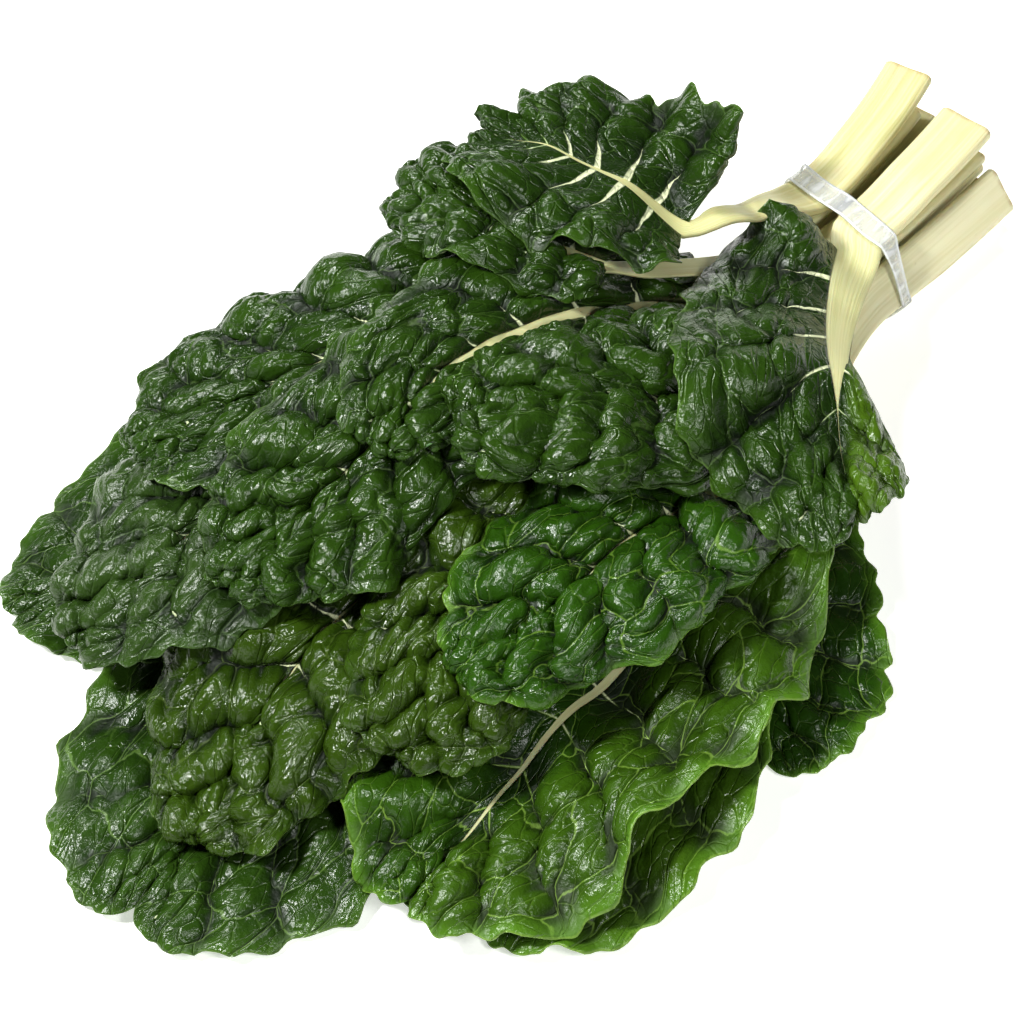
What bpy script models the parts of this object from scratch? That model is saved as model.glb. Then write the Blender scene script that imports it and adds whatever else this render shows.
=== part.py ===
"""A bunch of white-stemmed chard, held by a clear band and lying on its side.

Every leaf is two solids: a green blade and the white stalk that runs up its middle.
The stalks' cut ends point to +X, the blades spread towards -X, and the bunch lies on z = 0.
Leaves are laid down one after another, from the lowest to the topmost. Each keeps its own
curl and ridges, and is raised by a smooth blanket drawn over all that already lies there.

All lengths are in metres and all angles in degrees.
"""

import math
from dataclasses import dataclass

import bmesh
import bpy
import numpy as np

# ---------------------------------------------------------------- driving sizes

BAND_X, BAND_Y = 0.170, -0.011  # where the band goes round the stalks
BAND_WIDTH, BAND_THICKNESS, BAND_GAP = 0.010, 0.0009, 0.0009
STUB = 0.066  # stalk length past the band
STUB_SPREAD = 1.14  # how far the stalks fan out again by their cut ends
STUB_TURN = 0.005  # how far all the cut ends lie to the far side of the band
FLOOR_GAP = 0.0020  # height of the lowest stalks over the table at the band

SHEET = 0.0008  # blade thickness
CLEAR = 0.0022  # room between a blade and the leaves under it
PRESSED = 0.0008  # how far the lowest spots of a blade are flattened by the table
HANG = 0.0025  # how much of that room a hanging margin may take up before it is raised
STALK_ROOM = 0.0018  # the same for a stalk
SLIT = 0.00045  # gap between blade and midrib
LEAST = 0.1  # share of its reach that a half has before it begins
MIDRIB_END = 0.0009  # half-width of the midrib where it runs out

LOBE_RISE = 0.006  # how far the lowest lobes stand over the stalk that they flank
LATERALS = 8  # side veins on each half of a blade
CROWDING = 1.25  # how much closer together the side veins are by the tip
ROWS = 2 * LATERALS + 1  # rows of the blade cage: every side vein, and every ridge between
COLUMNS = 6  # points from midrib to margin

SINK, SINK_FROM = 0.40, 0.162  # share by which the pile sinks, and the x from which it does

PIECES = 6  # into which each edge of the cage is cut for the pile
STATION = 0.026  # the furthest that two rings of a petiole are apart

CELL = 0.003  # grid of the pile's height
GRID_LOW, GRID_HIGH = (-0.270, -0.210), (0.270, 0.200)
COVER_REACH, COVER_BLUR = 12, 2  # cells over which a cover is spread, and then smoothed
LIFT_SLOPE = 0.9  # the steepest that a leaf is sheared where it is raised

# stalk section: across (in half-widths) and up (in thicknesses), flat underneath
STALK_SECTION = (
    (-0.92, 0.06), (0.92, 0.06), (1.02, -0.28), (0.72, -0.68),
    (0.30, -0.85), (-0.30, -0.85), (-0.72, -0.68), (-1.02, -0.28),
)
STALK_UNDER = 0.85  # share of the stalk's thickness that lies under its spine

BLADE_GREEN = (0.035, 0.105, 0.022, 1.0)
STALK_WHITE = (0.80, 0.82, 0.62, 1.0)
BAND_CLEAR = (0.86, 0.88, 0.88, 0.45)


@dataclass
class Leaf:
    """One leaf. Headings turn from -X towards +Y; the far side is the +Y one."""

    name: str
    base: tuple  # where the blade starts, seen from above
    heading: float
    turn: float  # change of heading from the blade's base to its tip
    length: float
    half_width: float
    slot: tuple  # the stalk's y in the band, from its middle, and its underside's height
    stalk: tuple  # width and thickness at the band
    halves: tuple = (1.0, 1.0)  # share of the half-width on the far and the near side
    late: float = 0.0  # share of the midrib before the near half begins
    rib: float = 0.0  # width of the stalk at the blade's base, if not the usual share of the width
    lobe: float = 128.0  # angle between the midrib's end and the lowest side veins
    rise: float = 0.0  # slope of the midrib at the blade's base
    dip: float = -18.0  # slope of the midrib at the tip
    root: float = 16.0  # slope at which both halves leave the midrib
    far: tuple = (-20.0, -60.0)  # slope at the far margin, at the base and further on
    near: tuple = (-20.0, -60.0)  # the same for the near margin
    bank: float = 0.0  # roll of the whole blade about its midrib, far side up
    roll: float = 0.0  # the same for the stalk in the band
    cut: float = 0.0  # how much further its cut end lies from the band than the rest
    perch: float = 0.003  # height of the blade's base over what lies there
    hold: float = 0.0  # height of the blade's base, if it doesn't rest on what lies there
    follow: float = 1.0  # how closely the midrib follows what lies under it
    ridge: float = 0.0040  # height of the puffed ridges between the side veins
    ruffle: float = 0.0060  # height of the waves along the margin
    basal: tuple = (1.0, 0.2)  # share of its reach with which the far half begins, and until where
    sweep: float = 0.0  # how much further to the far side its cut end lies
    enter: float = 0.0  # how much the stalk still has to turn where it meets the blade
    seed: int = 1


# From the lowest to the topmost
LEAVES = (
    Leaf("leaf_01", (0.056, -0.056), -48, -6, 0.112, 0.054, (-0.0075, 0.0020), (0.0138, 0.0070),
         dip=-4, root=0, far=(0, -8), near=(4, 10), ridge=0.0035, ruffle=0.004, seed=11),
    Leaf("leaf_02", (0.038, -0.050), -22, 2, 0.182, 0.076, (-0.0225, 0.0020), (0.0140, 0.0070),
         dip=0, root=0, far=(-6, -6), near=(0, 34), ridge=0.0050, ruffle=0.009, seed=12),
    Leaf("leaf_03", (-0.034, -0.004), -4, -8, 0.184, 0.072, (0.0075, 0.0020), (0.0140, 0.0070),
         dip=-4, root=0, far=(-4, -6), near=(-4, -6), ridge=0.0045, ruffle=0.006, perch=0.004, seed=13),
    Leaf("leaf_04", (-0.008, 0.046), 14, 6, 0.162, 0.052, (0.0222, 0.0020), (0.0136, 0.0070),
         dip=-4, root=2, far=(0, 4), near=(-4, -8), ridge=0.0035, ruffle=0.007, cut=0.003, seed=14),
    Leaf("leaf_05", (0.032, -0.080), -4, -4, 0.182, 0.064, (-0.0145, 0.0098), (0.0146, 0.0070),
         dip=-4, root=8, far=(-2, -4), near=(6, 30), ridge=0.0072, ruffle=0.013, perch=0.005, seed=15),
    Leaf("leaf_06", (-0.022, -0.014), 12, -36, 0.180, 0.050, (0.0008, 0.0098), (0.0140, 0.0070),
         lobe=112, rise=8, dip=-56, root=30, far=(-12, -82), near=(-12, -80), ridge=0.0075, perch=0.010,
         follow=0.5, cut=-0.003, seed=16),
    Leaf("leaf_07", (-0.006, 0.040), 8, -4, 0.166, 0.052, (0.0160, 0.0098), (0.0140, 0.0070),
         lobe=112, rise=4, dip=-44, root=24, far=(-12, -80), near=(-12, -66), ridge=0.0070, perch=0.004,
         follow=0.7, cut=0.002, seed=17),
    Leaf("leaf_08", (0.012, -0.034), -10, -6, 0.144, 0.044, (-0.0118, 0.0176), (0.0120, 0.0070),
         lobe=106, rise=4, dip=-44, root=30, far=(-12, -80), near=(-12, -86), ridge=0.0075, perch=0.002,
         follow=0.8, seed=18),
    Leaf("leaf_09", (0.056, -0.066), -2, 2, 0.152, 0.044, (-0.0288, 0.0159), (0.0188, 0.0078),
         lobe=104, roll=50, rise=2, dip=-38, root=24, far=(-10, -66), near=(-16, -86), ridge=0.0075,
         perch=0.004, follow=0.8, cut=-0.002, seed=19),
    Leaf("leaf_10", (0.056, 0.036), 18, 4, 0.172, 0.056, (0.0152, 0.0176), (0.0145, 0.0070),
         lobe=104, rise=2, dip=-34, root=12, far=(-16, -76), near=(-10, -40), ridge=0.0070, perch=0.0,
         cut=0.005, seed=20),
    Leaf("leaf_11", (0.008, 0.018), 3, -4, 0.134, 0.044, (0.0010, 0.0176), (0.0130, 0.0070),
         lobe=104, rise=2, dip=-40, root=16, far=(-10, -66), near=(-12, -76), ridge=0.0070, perch=0.0,
         follow=0.9, seed=21),
    Leaf("leaf_12", (0.098, -0.006), 28, -50, 0.190, 0.056, (-0.0004, 0.0256), (0.0125, 0.0068),
         halves=(0.75, 0.6), rib=0.0098, lobe=100, rise=2, dip=-74, root=14, far=(-8, -44),
         near=(-20, -84), ridge=0.0070, perch=0.0, follow=0.9, cut=0.003, seed=23),
    Leaf("leaf_13", (0.090, -0.057), 21, 0, 0.138, 0.044, (-0.0132, 0.0256), (0.0120, 0.0068),
         lobe=100, rise=4, dip=-44, root=30, far=(-12, -70), near=(-16, -86),
         ridge=0.0080, perch=0.0, follow=0.9, cut=-0.002, seed=22),
    Leaf("leaf_14", (0.066, 0.018), 64, 8, 0.098, 0.046, (0.0152, 0.0256), (0.0120, 0.0068),
         halves=(1.0, 0.6), lobe=104, rise=6, dip=-80, root=14, far=(-10, -60), near=(-10, -60),
         ridge=0.0070, perch=0.0, follow=0.4, cut=-0.004, seed=26, enter=40),
    Leaf("leaf_15", (0.156, -0.0290), -29, -24, 0.156, 0.056, (-0.0096, 0.0334), (0.0215, 0.0095),
         halves=(1.1, 0.75), rib=0.0185, lobe=98, late=0.42, hold=0.0415, rise=-14, dip=-24, root=4,
         far=(-26, -84), near=(10, 34), ridge=0.0065, ruffle=0.010, follow=0.0, seed=25,
         basal=(0.52, 0.20), sweep=0.002),
    Leaf("leaf_16", (0.1005, 0.0095), 72, 2, 0.096, 0.050, (0.0165, 0.0334), (0.0190, 0.0085),
         halves=(0.72, 0.85), rib=0.0085, lobe=108, rise=4, dip=-66, root=14, far=(8, -36),
         near=(-14, -58), ridge=0.0060, ruffle=0.010, perch=-0.004, follow=0.3, cut=0.004, seed=24,
         basal=(1.7, 0.6), enter=50, sweep=0.006),
)

# ---------------------------------------------------------------- small helpers


def smooth_step(x):
    """0 below 0, 1 above 1, and an even curve between."""
    x = np.clip(x, 0.0, 1.0)
    return x * x * (3.0 - 2.0 * x)


def smooth_max(a, b, softness):
    """The larger of a and b, rounded where they cross."""
    return 0.5 * (a + b + np.sqrt((a - b) ** 2 + softness**2))


# ---------------------------------------------------------------- the pile


def smooth_cover(grid, slope):
    """A cover over a grid that nowhere cuts into it, with no slope steeper than this."""
    for _ in range(COVER_REACH):
        for step in (-1, 1):
            for axis in (0, 1):
                grid = np.maximum(grid, np.roll(grid, step, axis) - slope * CELL)
            for turn in (-1, 1):
                grid = np.maximum(grid, np.roll(grid, (step, turn), (0, 1)) - 1.4 * slope * CELL)
    steps = range(-COVER_BLUR, COVER_BLUR + 1)
    for axis in (0, 1):
        grid = np.max([np.roll(grid, k, axis) for k in steps], axis=0)
    weights = [math.cos(0.5 * math.pi * k / (COVER_BLUR + 1)) ** 2 for k in steps]
    for axis in (0, 1):
        grid = sum(w * np.roll(grid, k, axis) for k, w in zip(steps, weights)) / sum(weights)
    return grid


def widened(values, reach, axes):
    """Each value of a grid raised to the largest within this reach."""
    for axis in axes:
        pad = [(reach, reach) if k == axis else (0, 0) for k in range(values.ndim)]
        padded = np.pad(values, pad, mode="edge")
        count = values.shape[axis]
        moved = [np.take(padded, range(k, k + count), axis) for k in range(2 * reach + 1)]
        values = np.max(moved, axis=0)
    return values


def refined(points, pieces=PIECES):
    """A grid of points with others on the straight lines between them."""
    for axis in (1, 2):
        first, second = (np.take(points, range(k, points.shape[axis] - 1 + k), axis) for k in (0, 1))
        between = [first + (second - first) * t for t in np.arange(pieces) / pieces]
        last = np.take(points, [-1], axis)
        points = np.concatenate(between + [last], axis)
    return points


class Pile:
    """Height of everything laid down so far, on a grid seen from above."""

    def __init__(self):
        size = [round((high - low) / CELL) + 1 for low, high in zip(GRID_LOW, GRID_HIGH)]
        self.top = np.full(size, SHEET / 2)
        self.bare = np.full(size, True)

    def _cells(self, points):
        at = (points[..., :2].reshape(-1, 2) - GRID_LOW) / CELL
        i, j = np.clip(np.round(at).astype(int), 0, np.array(self.top.shape) - 1).T
        return i, j

    def add(self, points):
        """Raises the pile to these surface points."""
        cells = self._cells(points)
        np.maximum.at(self.top, cells, points[..., 2].ravel())
        self.bare[cells] = False

    def need(self, points, room):
        """How far each point must be raised to clear the pile by this room, or to press on the table."""
        cells = self._cells(points)
        room = np.where(self.bare[cells], -PRESSED, np.broadcast_to(room, points.shape[:-1]).ravel())
        return (self.top[cells] + room).reshape(points.shape[:-1]) - points[..., 2]

    def lift(self, grids, needs):
        """A gentle lift, place by place, that raises every point as far as it needs.

        It changes so little from place to place that a leaf raised by it stays whole.
        """
        least = np.zeros_like(self.top)
        for points, need in zip(grids, needs):
            np.maximum.at(least, self._cells(points), need.ravel())
        return smooth_cover(least, LIFT_SLOPE)

    def clearance(self, points):
        """Height of the points over the pile under them."""
        cells = self._cells(points)
        return points[..., 2] - self.top[cells].reshape(points.shape[:-1])

    def blanket(self):
        """A smooth cover drawn over the pile."""
        return smooth_cover(self.top, 0.8)


def read(grid, x, y):
    """The value of a grid at any place, between its cells."""
    i = np.clip((x - GRID_LOW[0]) / CELL, 0, grid.shape[0] - 1.001)
    j = np.clip((y - GRID_LOW[1]) / CELL, 0, grid.shape[1] - 1.001)
    i0, j0 = i.astype(int), j.astype(int)
    u, v = i - i0, j - j0
    low = grid[i0, j0] * (1 - u) + grid[i0 + 1, j0] * u
    high = grid[i0, j0 + 1] * (1 - u) + grid[i0 + 1, j0 + 1] * u
    return low * (1 - v) + high * v


def sunk(points):
    """The points after the pile has sunk under its own weight, which the band keeps it from doing."""
    share = SINK * smooth_step((SINK_FROM - points[..., 0]) / 0.035)
    points[..., 2] *= 1 - share
    return points


# ---------------------------------------------------------------- one leaf's shape


class Shape:
    """The surface of one leaf: its spine, its cross curl and its relief, lying on the pile."""

    STEP = 0.002  # spacing of the spine's points

    def __init__(self, leaf, pile):
        self.leaf, self.pile = leaf, pile
        self.chance = np.random.default_rng(leaf.seed)
        self.puffs = 0.7 + 0.6 * self.chance.random((2, LATERALS))
        self.waves = self.chance.random((2, 3)) * 2 * math.pi
        self.lift = np.zeros_like(pile.top)
        self.midrib_s = (leaf.length - self.tip_reach()) * (1 - (1 / (ROWS - 1)) ** CROWDING)
        self._lay_spine()
        self._set_heights()

    def tip_reach(self):
        """How far the last side veins reach past the end of the midrib."""
        return self.leaf.half_width * math.sin(math.pi * 0.95) ** 0.8

    # -- spine

    def _stalk_path(self):
        """Plan points of the stalk from its cut end to the blade's base."""
        leaf = self.leaf
        head = math.radians(leaf.heading - leaf.enter)
        base = np.array(leaf.base)
        held = np.array((BAND_X, BAND_Y + leaf.slot[0]))
        cut_y = BAND_Y + leaf.slot[0] * STUB_SPREAD + STUB_TURN + leaf.sweep
        cut = np.array((BAND_X + STUB + leaf.cut, cut_y))
        along = np.array((1.0, 0.0))
        reach = 0.45 * np.linalg.norm(held - base)
        leave, arrive = held - along * reach, base + reach * np.array((math.cos(head), -math.sin(head)))
        t = np.linspace(0.0, 1.0, 40)[:, None]
        ends = (1 - t) ** 3 * held + t**3 * base
        curve = ends + 3 * t * (1 - t) * ((1 - t) * leave + t * arrive)
        bow = held + 0.45 * STUB * along
        t = np.linspace(0.0, 1.0, 24, endpoint=False)[:, None]
        stub = (1 - t) ** 2 * cut + 2 * t * (1 - t) * bow + t * t * held
        return np.vstack([stub, curve])

    def _lay_spine(self):
        leaf = self.leaf
        path = self._stalk_path()
        run = np.concatenate([[0.0], np.cumsum(np.linalg.norm(np.diff(path, axis=0), axis=1))])
        self.cut_s = -run[-1]
        self.band_s = np.interp(BAND_X, path[::-1, 0], self.cut_s + run[::-1])
        count = int(-self.cut_s / self.STEP) + 1
        back = np.linspace(self.cut_s, 0.0, count)
        plan = np.stack([np.interp(back - self.cut_s, run, path[:, k]) for k in (0, 1)], axis=1)
        gone = np.gradient(plan, axis=0)
        back_heading = np.arctan2(gone[:, 1], -gone[:, 0])
        back_heading += math.radians(leaf.enter) * smooth_step(1 + back / 0.020)
        back_heading = np.where(back > -2.5 * self.STEP, math.radians(leaf.heading), back_heading)

        ahead = np.arange(1, int((leaf.length + 0.02) / self.STEP) + 1) * self.STEP
        share = np.clip(ahead / leaf.length, 0.0, 1.1)
        heading = np.radians(leaf.heading + leaf.turn * share)
        slope = np.radians(leaf.rise + (leaf.dip - leaf.rise) * share**1.6)
        step = self.STEP * np.stack(
            [-np.cos(heading) * np.cos(slope), np.sin(heading) * np.cos(slope), np.sin(slope)], axis=1
        )
        walked = np.cumsum(step, axis=0)

        self.s = np.concatenate([back, ahead])
        self.x = np.concatenate([plan[:, 0], leaf.base[0] + walked[:, 0]])
        self.y = np.concatenate([plan[:, 1], leaf.base[1] + walked[:, 1]])
        self.bump = np.concatenate([np.zeros(len(back)), walked[:, 2]])
        self.heading = np.concatenate([back_heading, heading])
        self.slope = np.concatenate([math.radians(leaf.rise) * np.exp(back / 0.02), slope])
        gone = smooth_step((self.s - self.band_s - 0.01) / max(-self.band_s - 0.02, 0.02))
        self.bank = np.radians(leaf.roll + (leaf.bank - leaf.roll) * gone)

    def _frame(self, s):
        """Plan point, sideways vector and normal of the spine at s."""
        heading, slope, bank = (np.interp(s, self.s, v) for v in (self.heading, self.slope, self.bank))
        zero = np.zeros_like(heading)
        side = np.stack([np.sin(heading), np.cos(heading), zero], axis=-1)
        forward = np.stack(
            [-np.cos(heading) * np.cos(slope), np.sin(heading) * np.cos(slope), np.sin(slope)], axis=-1
        )
        up = np.cross(side, forward)
        turned = side * np.cos(bank)[..., None] + up * np.sin(bank)[..., None]
        normal = up * np.cos(bank)[..., None] - side * np.sin(bank)[..., None]
        return turned, normal

    # -- stalk

    def stalk_half_width(self, s):
        leaf = self.leaf
        widest, at_blade = leaf.stalk[0] / 2, (leaf.rib or 0.68 * leaf.stalk[0]) / 2
        back = np.clip(-s / -self.band_s, 0.0, 1.0)
        stub = np.clip((self.band_s - s) / STUB, 0.0, 1.0)
        petiole = at_blade + (widest - at_blade) * smooth_step(back) + 0.04 * widest * stub
        ahead = np.clip(s / self.midrib_s, 0.0, 1.0)
        midrib = MIDRIB_END + (at_blade - MIDRIB_END) * (1 - ahead) ** 1.1
        return np.where(s < 0, petiole, midrib)

    def stalk_thickness(self, s):
        leaf = self.leaf
        back = np.clip(-s / -self.band_s, 0.0, 1.0)
        stub = np.clip((self.band_s - s) / STUB, 0.0, 1.0)
        at_blade = 0.72 * leaf.stalk[1]
        petiole = at_blade + (leaf.stalk[1] - at_blade) * smooth_step(back) + 0.1 * leaf.stalk[1] * stub
        ahead = np.clip(s / self.midrib_s, 0.0, 1.0)
        midrib = 0.0014 + (at_blade - 0.0014) * (1 - ahead) ** 1.2
        return np.where(s < 0, petiole, midrib)

    # -- blade

    def _cross(self, s, rest, side, share):
        """Sideways and upward reach of the curled cross-section, and its slope there."""
        leaf = self.leaf
        on = smooth_step((s / leaf.length + 0.12) / 0.5)
        far = leaf.far[0] + (leaf.far[1] - leaf.far[0]) * on
        near = leaf.near[0] + (leaf.near[1] - leaf.near[0]) * on
        margin = np.where(side > 0, far, near)
        margin = np.where(margin < 0, margin * share, margin)
        root = leaf.root * (0.35 + 0.65 * share)

        def slope(a):
            return np.radians(root + (margin - root) * (a / leaf.half_width) ** 1.4)

        steps = 12
        out, up = np.zeros_like(rest), np.zeros_like(rest)
        for k in range(steps):
            angle = slope(rest * (k + 0.5) / steps)
            out += np.cos(angle) * rest / steps
            up += np.sin(angle) * rest / steps
        return out, up, slope(rest)

    def rib_start(self, p):
        """Distance along the midrib at which the side vein p leaves it."""
        return (self.leaf.length - self.tip_reach()) * (1 - (1 - p) ** CROWDING)

    def reach(self, side, p):
        """How far the blade reaches along the side vein p."""
        leaf = self.leaf
        reach = leaf.half_width * np.sin(math.pi * (0.17 + 0.78 * p)) ** 0.8
        reach = reach * (1 + (np.where(side > 0, *leaf.halves) - 1) * smooth_step((1 - p) / 0.15))
        first = leaf.basal[0] + (1 - leaf.basal[0]) * smooth_step(p / leaf.basal[1])
        later = LEAST + (1 - LEAST) * smooth_step((p - leaf.late) / 0.25) if leaf.late else 1.0
        reach = reach * np.where(side > 0, first, later)
        k = (side > 0).astype(int)
        return reach * (1 + 0.05 * np.sin(2 * math.pi * 2.5 * p + self.waves[k, 2]) * (1 - p))

    def flat(self, side, p, q):
        """The blade's point (p, q) before it is bent: how far along it lies, and how far across.

        The second is in two parts, half the midrib with its slit, and the rest.
        p runs from the basal lobe (0) to the tip (1) and q from the midrib (0) to the margin (1).
        """
        angle = np.radians(self.leaf.lobe) * (1 - p) ** 0.9
        rho = self.reach(side, p) * q
        start = self.rib_start(p)
        along = start + rho * np.cos(angle) + 0.10 * rho * q * np.sin(angle)
        inner = (self.stalk_half_width(start) + SLIT) * (p < 1)
        return along, inner, rho * np.sin(angle)

    def relief(self, side, p, q):
        """Height of ridges and ruffles over the smooth blade."""
        leaf = self.leaf
        count = p * LATERALS
        k = (side > 0).astype(int)
        field = np.clip(count.astype(int), 0, LATERALS - 1)
        middle = np.sin(math.pi * np.clip(q, 0, 1) ** 0.85) ** 0.8
        ridges = leaf.ridge * self.puffs[k, field] * (1.35 * np.abs(np.sin(math.pi * count)) - 0.35)
        ridges *= middle * smooth_step((1.04 - p) / 0.22)
        ruffles = np.sin(2 * math.pi * 2.2 * p + self.waves[k, 0]) + 0.5 * np.sin(
            2 * math.pi * 4.3 * p + self.waves[k, 1]
        )
        ears = LOBE_RISE * smooth_step((0.16 - p) / 0.16) * np.sqrt(q)
        return ridges + ears + leaf.ruffle * ruffles * q**2.2 * (1 - p**4)

    def _bent(self, side, p, q):
        along, inner, rest = self.flat(side, p, q)
        share = np.where(side > 0, *(np.interp(p, np.linspace(0, 1, ROWS), c) for c in self.curl[::-1]))
        out, up, slope = self._cross(along, rest, side, share)
        lift = self.relief(side, p, q)
        out, up = inner + out - np.sin(slope) * lift, up + np.cos(slope) * lift
        turned, normal = self._frame(along)
        return along, turned * (side * out)[..., None] + normal * up[..., None]

    def _set_heights(self):
        """The spine's own height, and the lift that lays the whole leaf on the pile."""
        leaf, pile = self.leaf, self.pile
        held = leaf.slot[1] + STALK_UNDER * leaf.stalk[1]
        under = leaf.slot[1] + ((leaf.slot[1] - FLOOR_GAP) * STUB_SPREAD - leaf.slot[1]) * smooth_step(
            (self.band_s - 0.008 - self.s) / 0.024
        )
        blanket = read(pile.blanket(), self.x, self.y) + leaf.perch
        start = leaf.hold or np.interp(0.0, self.s, blanket)
        gone = np.clip((self.s - self.band_s) / -self.band_s, 0.0, 1.0)
        free = held + (start - held) * smooth_step(gone)
        behind = under + STALK_UNDER * self.stalk_thickness(self.s)
        ahead = start + (blanket - start) * leaf.follow * smooth_step(self.s / 0.03) + self.bump
        lies = smooth_step(self.s / (0.09 if leaf.hold else 0.03))
        ahead = ahead + (smooth_max(ahead, blanket, 0.003) - ahead) * lies
        self.z = np.select([self.s < self.band_s, self.s < 0], [behind, free], ahead)
        self.z = np.maximum(self.z, STALK_UNDER * self.stalk_thickness(self.s))
        self._uncurl()
        self._lay_down()

    def _uncurl(self):
        """Lets each part of both margins hang down only as far as there is room for it."""
        trials = np.linspace(1.0, 0.0, 9)
        best = np.zeros((2, ROWS))
        for share in trials[::-1]:
            self.curl = np.full((2, ROWS), share)
            side, p, q = cage(ROWS, COLUMNS * 4)
            over = self.pile.clearance(self.loose_blade(side, p, q)) - CLEAR
            fits = np.min(over, axis=2) > -HANG
            best = np.where(fits, share, best)
        padded = np.pad(best, ((0, 0), (1, 1)), mode="edge")
        least = np.min([np.roll(padded, k, 1) for k in (-1, 0, 1)], axis=0)
        least = np.sum([np.roll(least, k, 1) for k in (-1, 0, 1)], axis=0)[:, 1:-1] / 3
        self.curl = least

    def _lay_down(self):
        """Raises the leaf wherever it would cut into the pile."""
        leaf, pile = self.leaf, self.pile
        blade = refined(self.loose_blade(*cage()))
        s = np.arange(self.band_s + 0.012, self.midrib_s, self.STEP)
        stalk = self.loose_stalk(s)
        room = STALK_ROOM * smooth_step((s - self.band_s - 0.012) / 0.05)[:, None]
        needs = (
            widened(pile.need(blade, CLEAR), PIECES // 3, (1, 2)),
            widened(pile.need(stalk, room), round(STATION / self.STEP / 2), (0,)),
        )
        lift = pile.lift((blade, stalk), needs)
        x = GRID_LOW[0] + CELL * np.arange(lift.shape[0])[:, None]
        self.lift = lift * smooth_step((BAND_X - 0.012 - x) / 0.03)

    def _raised(self, points):
        points[..., 2] += read(self.lift, points[..., 0], points[..., 1])
        return points

    def loose_blade(self, side, p, q):
        """Points of the blade's middle surface, before the pile has sunk under its weight."""
        along, offset = self._bent(side, p, q)
        middle = np.stack([np.interp(along, self.s, v) for v in (self.x, self.y, self.z)], axis=-1)
        return self._raised(middle + offset)

    def blade(self, side, p, q):
        """Points of the blade's middle surface, which is flattened where it presses on the table."""
        points = sunk(self.loose_blade(side, p, q))
        points[..., 2] = np.maximum(points[..., 2], SHEET / 2)
        return points

    def stalk(self, s, section=STALK_SECTION):
        """Rings of points round the stalk at the distances s."""
        return sunk(self.loose_stalk(s, section))

    def loose_stalk(self, s, section=STALK_SECTION):
        turned, normal = self._frame(s)
        middle = np.stack([np.interp(s, self.s, v) for v in (self.x, self.y, self.z)], axis=-1)
        half, thick = self.stalk_half_width(s), self.stalk_thickness(s)
        rings = [
            middle + turned * (a * half)[:, None] + normal * (b * thick)[:, None] for a, b in section
        ]
        return self._raised(np.stack(rings, axis=1))


def cage(rows=ROWS, columns=COLUMNS):
    """(side, p, q) of a grid over both halves: first axis the side, then rows, then columns."""
    return np.meshgrid((-1.0, 1.0), np.linspace(0, 1, rows), np.linspace(0, 1, columns), indexing="ij")


def add_to_pile(pile, shape):
    """Raises the pile to this leaf's blade and stalk."""
    pile.add(refined(shape.loose_blade(*cage())) + (0.0, 0.0, SHEET / 2))
    pile.add(shape.loose_stalk(np.arange(shape.cut_s, shape.midrib_s, 0.002)))


# ---------------------------------------------------------------- Blender objects


def material(name, colour, roughness, alpha=1.0):
    made = bpy.data.materials.new(name)
    made.use_nodes = True
    shader = made.node_tree.nodes["Principled BSDF"]
    shader.inputs["Base Color"].default_value = colour
    shader.inputs["Roughness"].default_value = roughness
    shader.inputs["Alpha"].default_value = alpha
    made.diffuse_color = colour
    return made


def new_object(name, mesh, look, parts):
    made = bpy.data.objects.new(name, mesh)
    parts.objects.link(made)
    mesh.materials.append(look)
    return made


def make_blade(shape, look, parts):
    """The blade: both halves as one sheet that is slit along the midrib, given its thickness."""
    side, p, q = cage()
    points = shape.blade(side, p, q)
    sheet = bmesh.new()
    corners = {}
    for k in (0, 1):
        for i in range(ROWS):
            for j in range(COLUMNS):
                shared = i == ROWS - 1 and k == 1
                corners[k, i, j] = corners[0, i, j] if shared else sheet.verts.new(points[k, i, j])
    for k in (0, 1):
        for i in range(ROWS - 1):
            for j in range(COLUMNS - 1):
                a, b = corners[k, i, j], corners[k, i + 1, j]
                c, d = corners[k, i + 1, j + 1], corners[k, i, j + 1]
                ring = (a, b, c, d) if k == 0 else (d, c, b, a)
                sheet.faces.new(ring)
    bmesh.ops.triangulate(sheet, faces=sheet.faces, quad_method="SHORT_EDGE")
    mesh = bpy.data.meshes.new(shape.leaf.name + "_blade")
    sheet.to_mesh(mesh)
    sheet.free()
    mesh.shade_smooth()
    blade = new_object(shape.leaf.name + "_blade", mesh, look, parts)
    walls = blade.modifiers.new("Thickness", "SOLIDIFY")
    walls.thickness = SHEET
    walls.offset = 0.0
    return blade


def stalk_stations(shape):
    """Distances along the spine at which the stalk gets a ring."""
    stub = (shape.cut_s, shape.cut_s + 0.024, shape.band_s - 0.006, shape.band_s + 0.006)
    free = np.linspace(shape.band_s + 0.006, 0.0, 2 + int(-shape.band_s / STATION))[1:]
    midrib = shape.rib_start(np.array([1, *range(2, ROWS, 2)]) / (ROWS - 1))
    midrib[-1] = shape.midrib_s
    return np.concatenate([stub, free, midrib])


def make_stalk(shape, look, parts):
    """Petiole and midrib: a loft through rings that shrink from the cut end to the tip."""
    rings = shape.stalk(stalk_stations(shape))
    loft = bmesh.new()
    rows = [[loft.verts.new(point) for point in ring] for ring in rings]
    for one, two in zip(rows, rows[1:]):
        for k in range(len(one)):
            loft.faces.new((one[k - 1], two[k - 1], two[k], one[k]))
    loft.faces.new(rows[0])
    loft.faces.new(reversed(rows[-1]))
    bmesh.ops.triangulate(loft, faces=loft.faces)
    bmesh.ops.recalc_face_normals(loft, faces=loft.faces)
    mesh = bpy.data.meshes.new(shape.leaf.name + "_stalk")
    loft.to_mesh(mesh)
    loft.free()
    mesh.shade_smooth()
    mesh.set_sharp_from_angle(angle=math.radians(50))
    return new_object(shape.leaf.name + "_stalk", mesh, look, parts)


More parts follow.
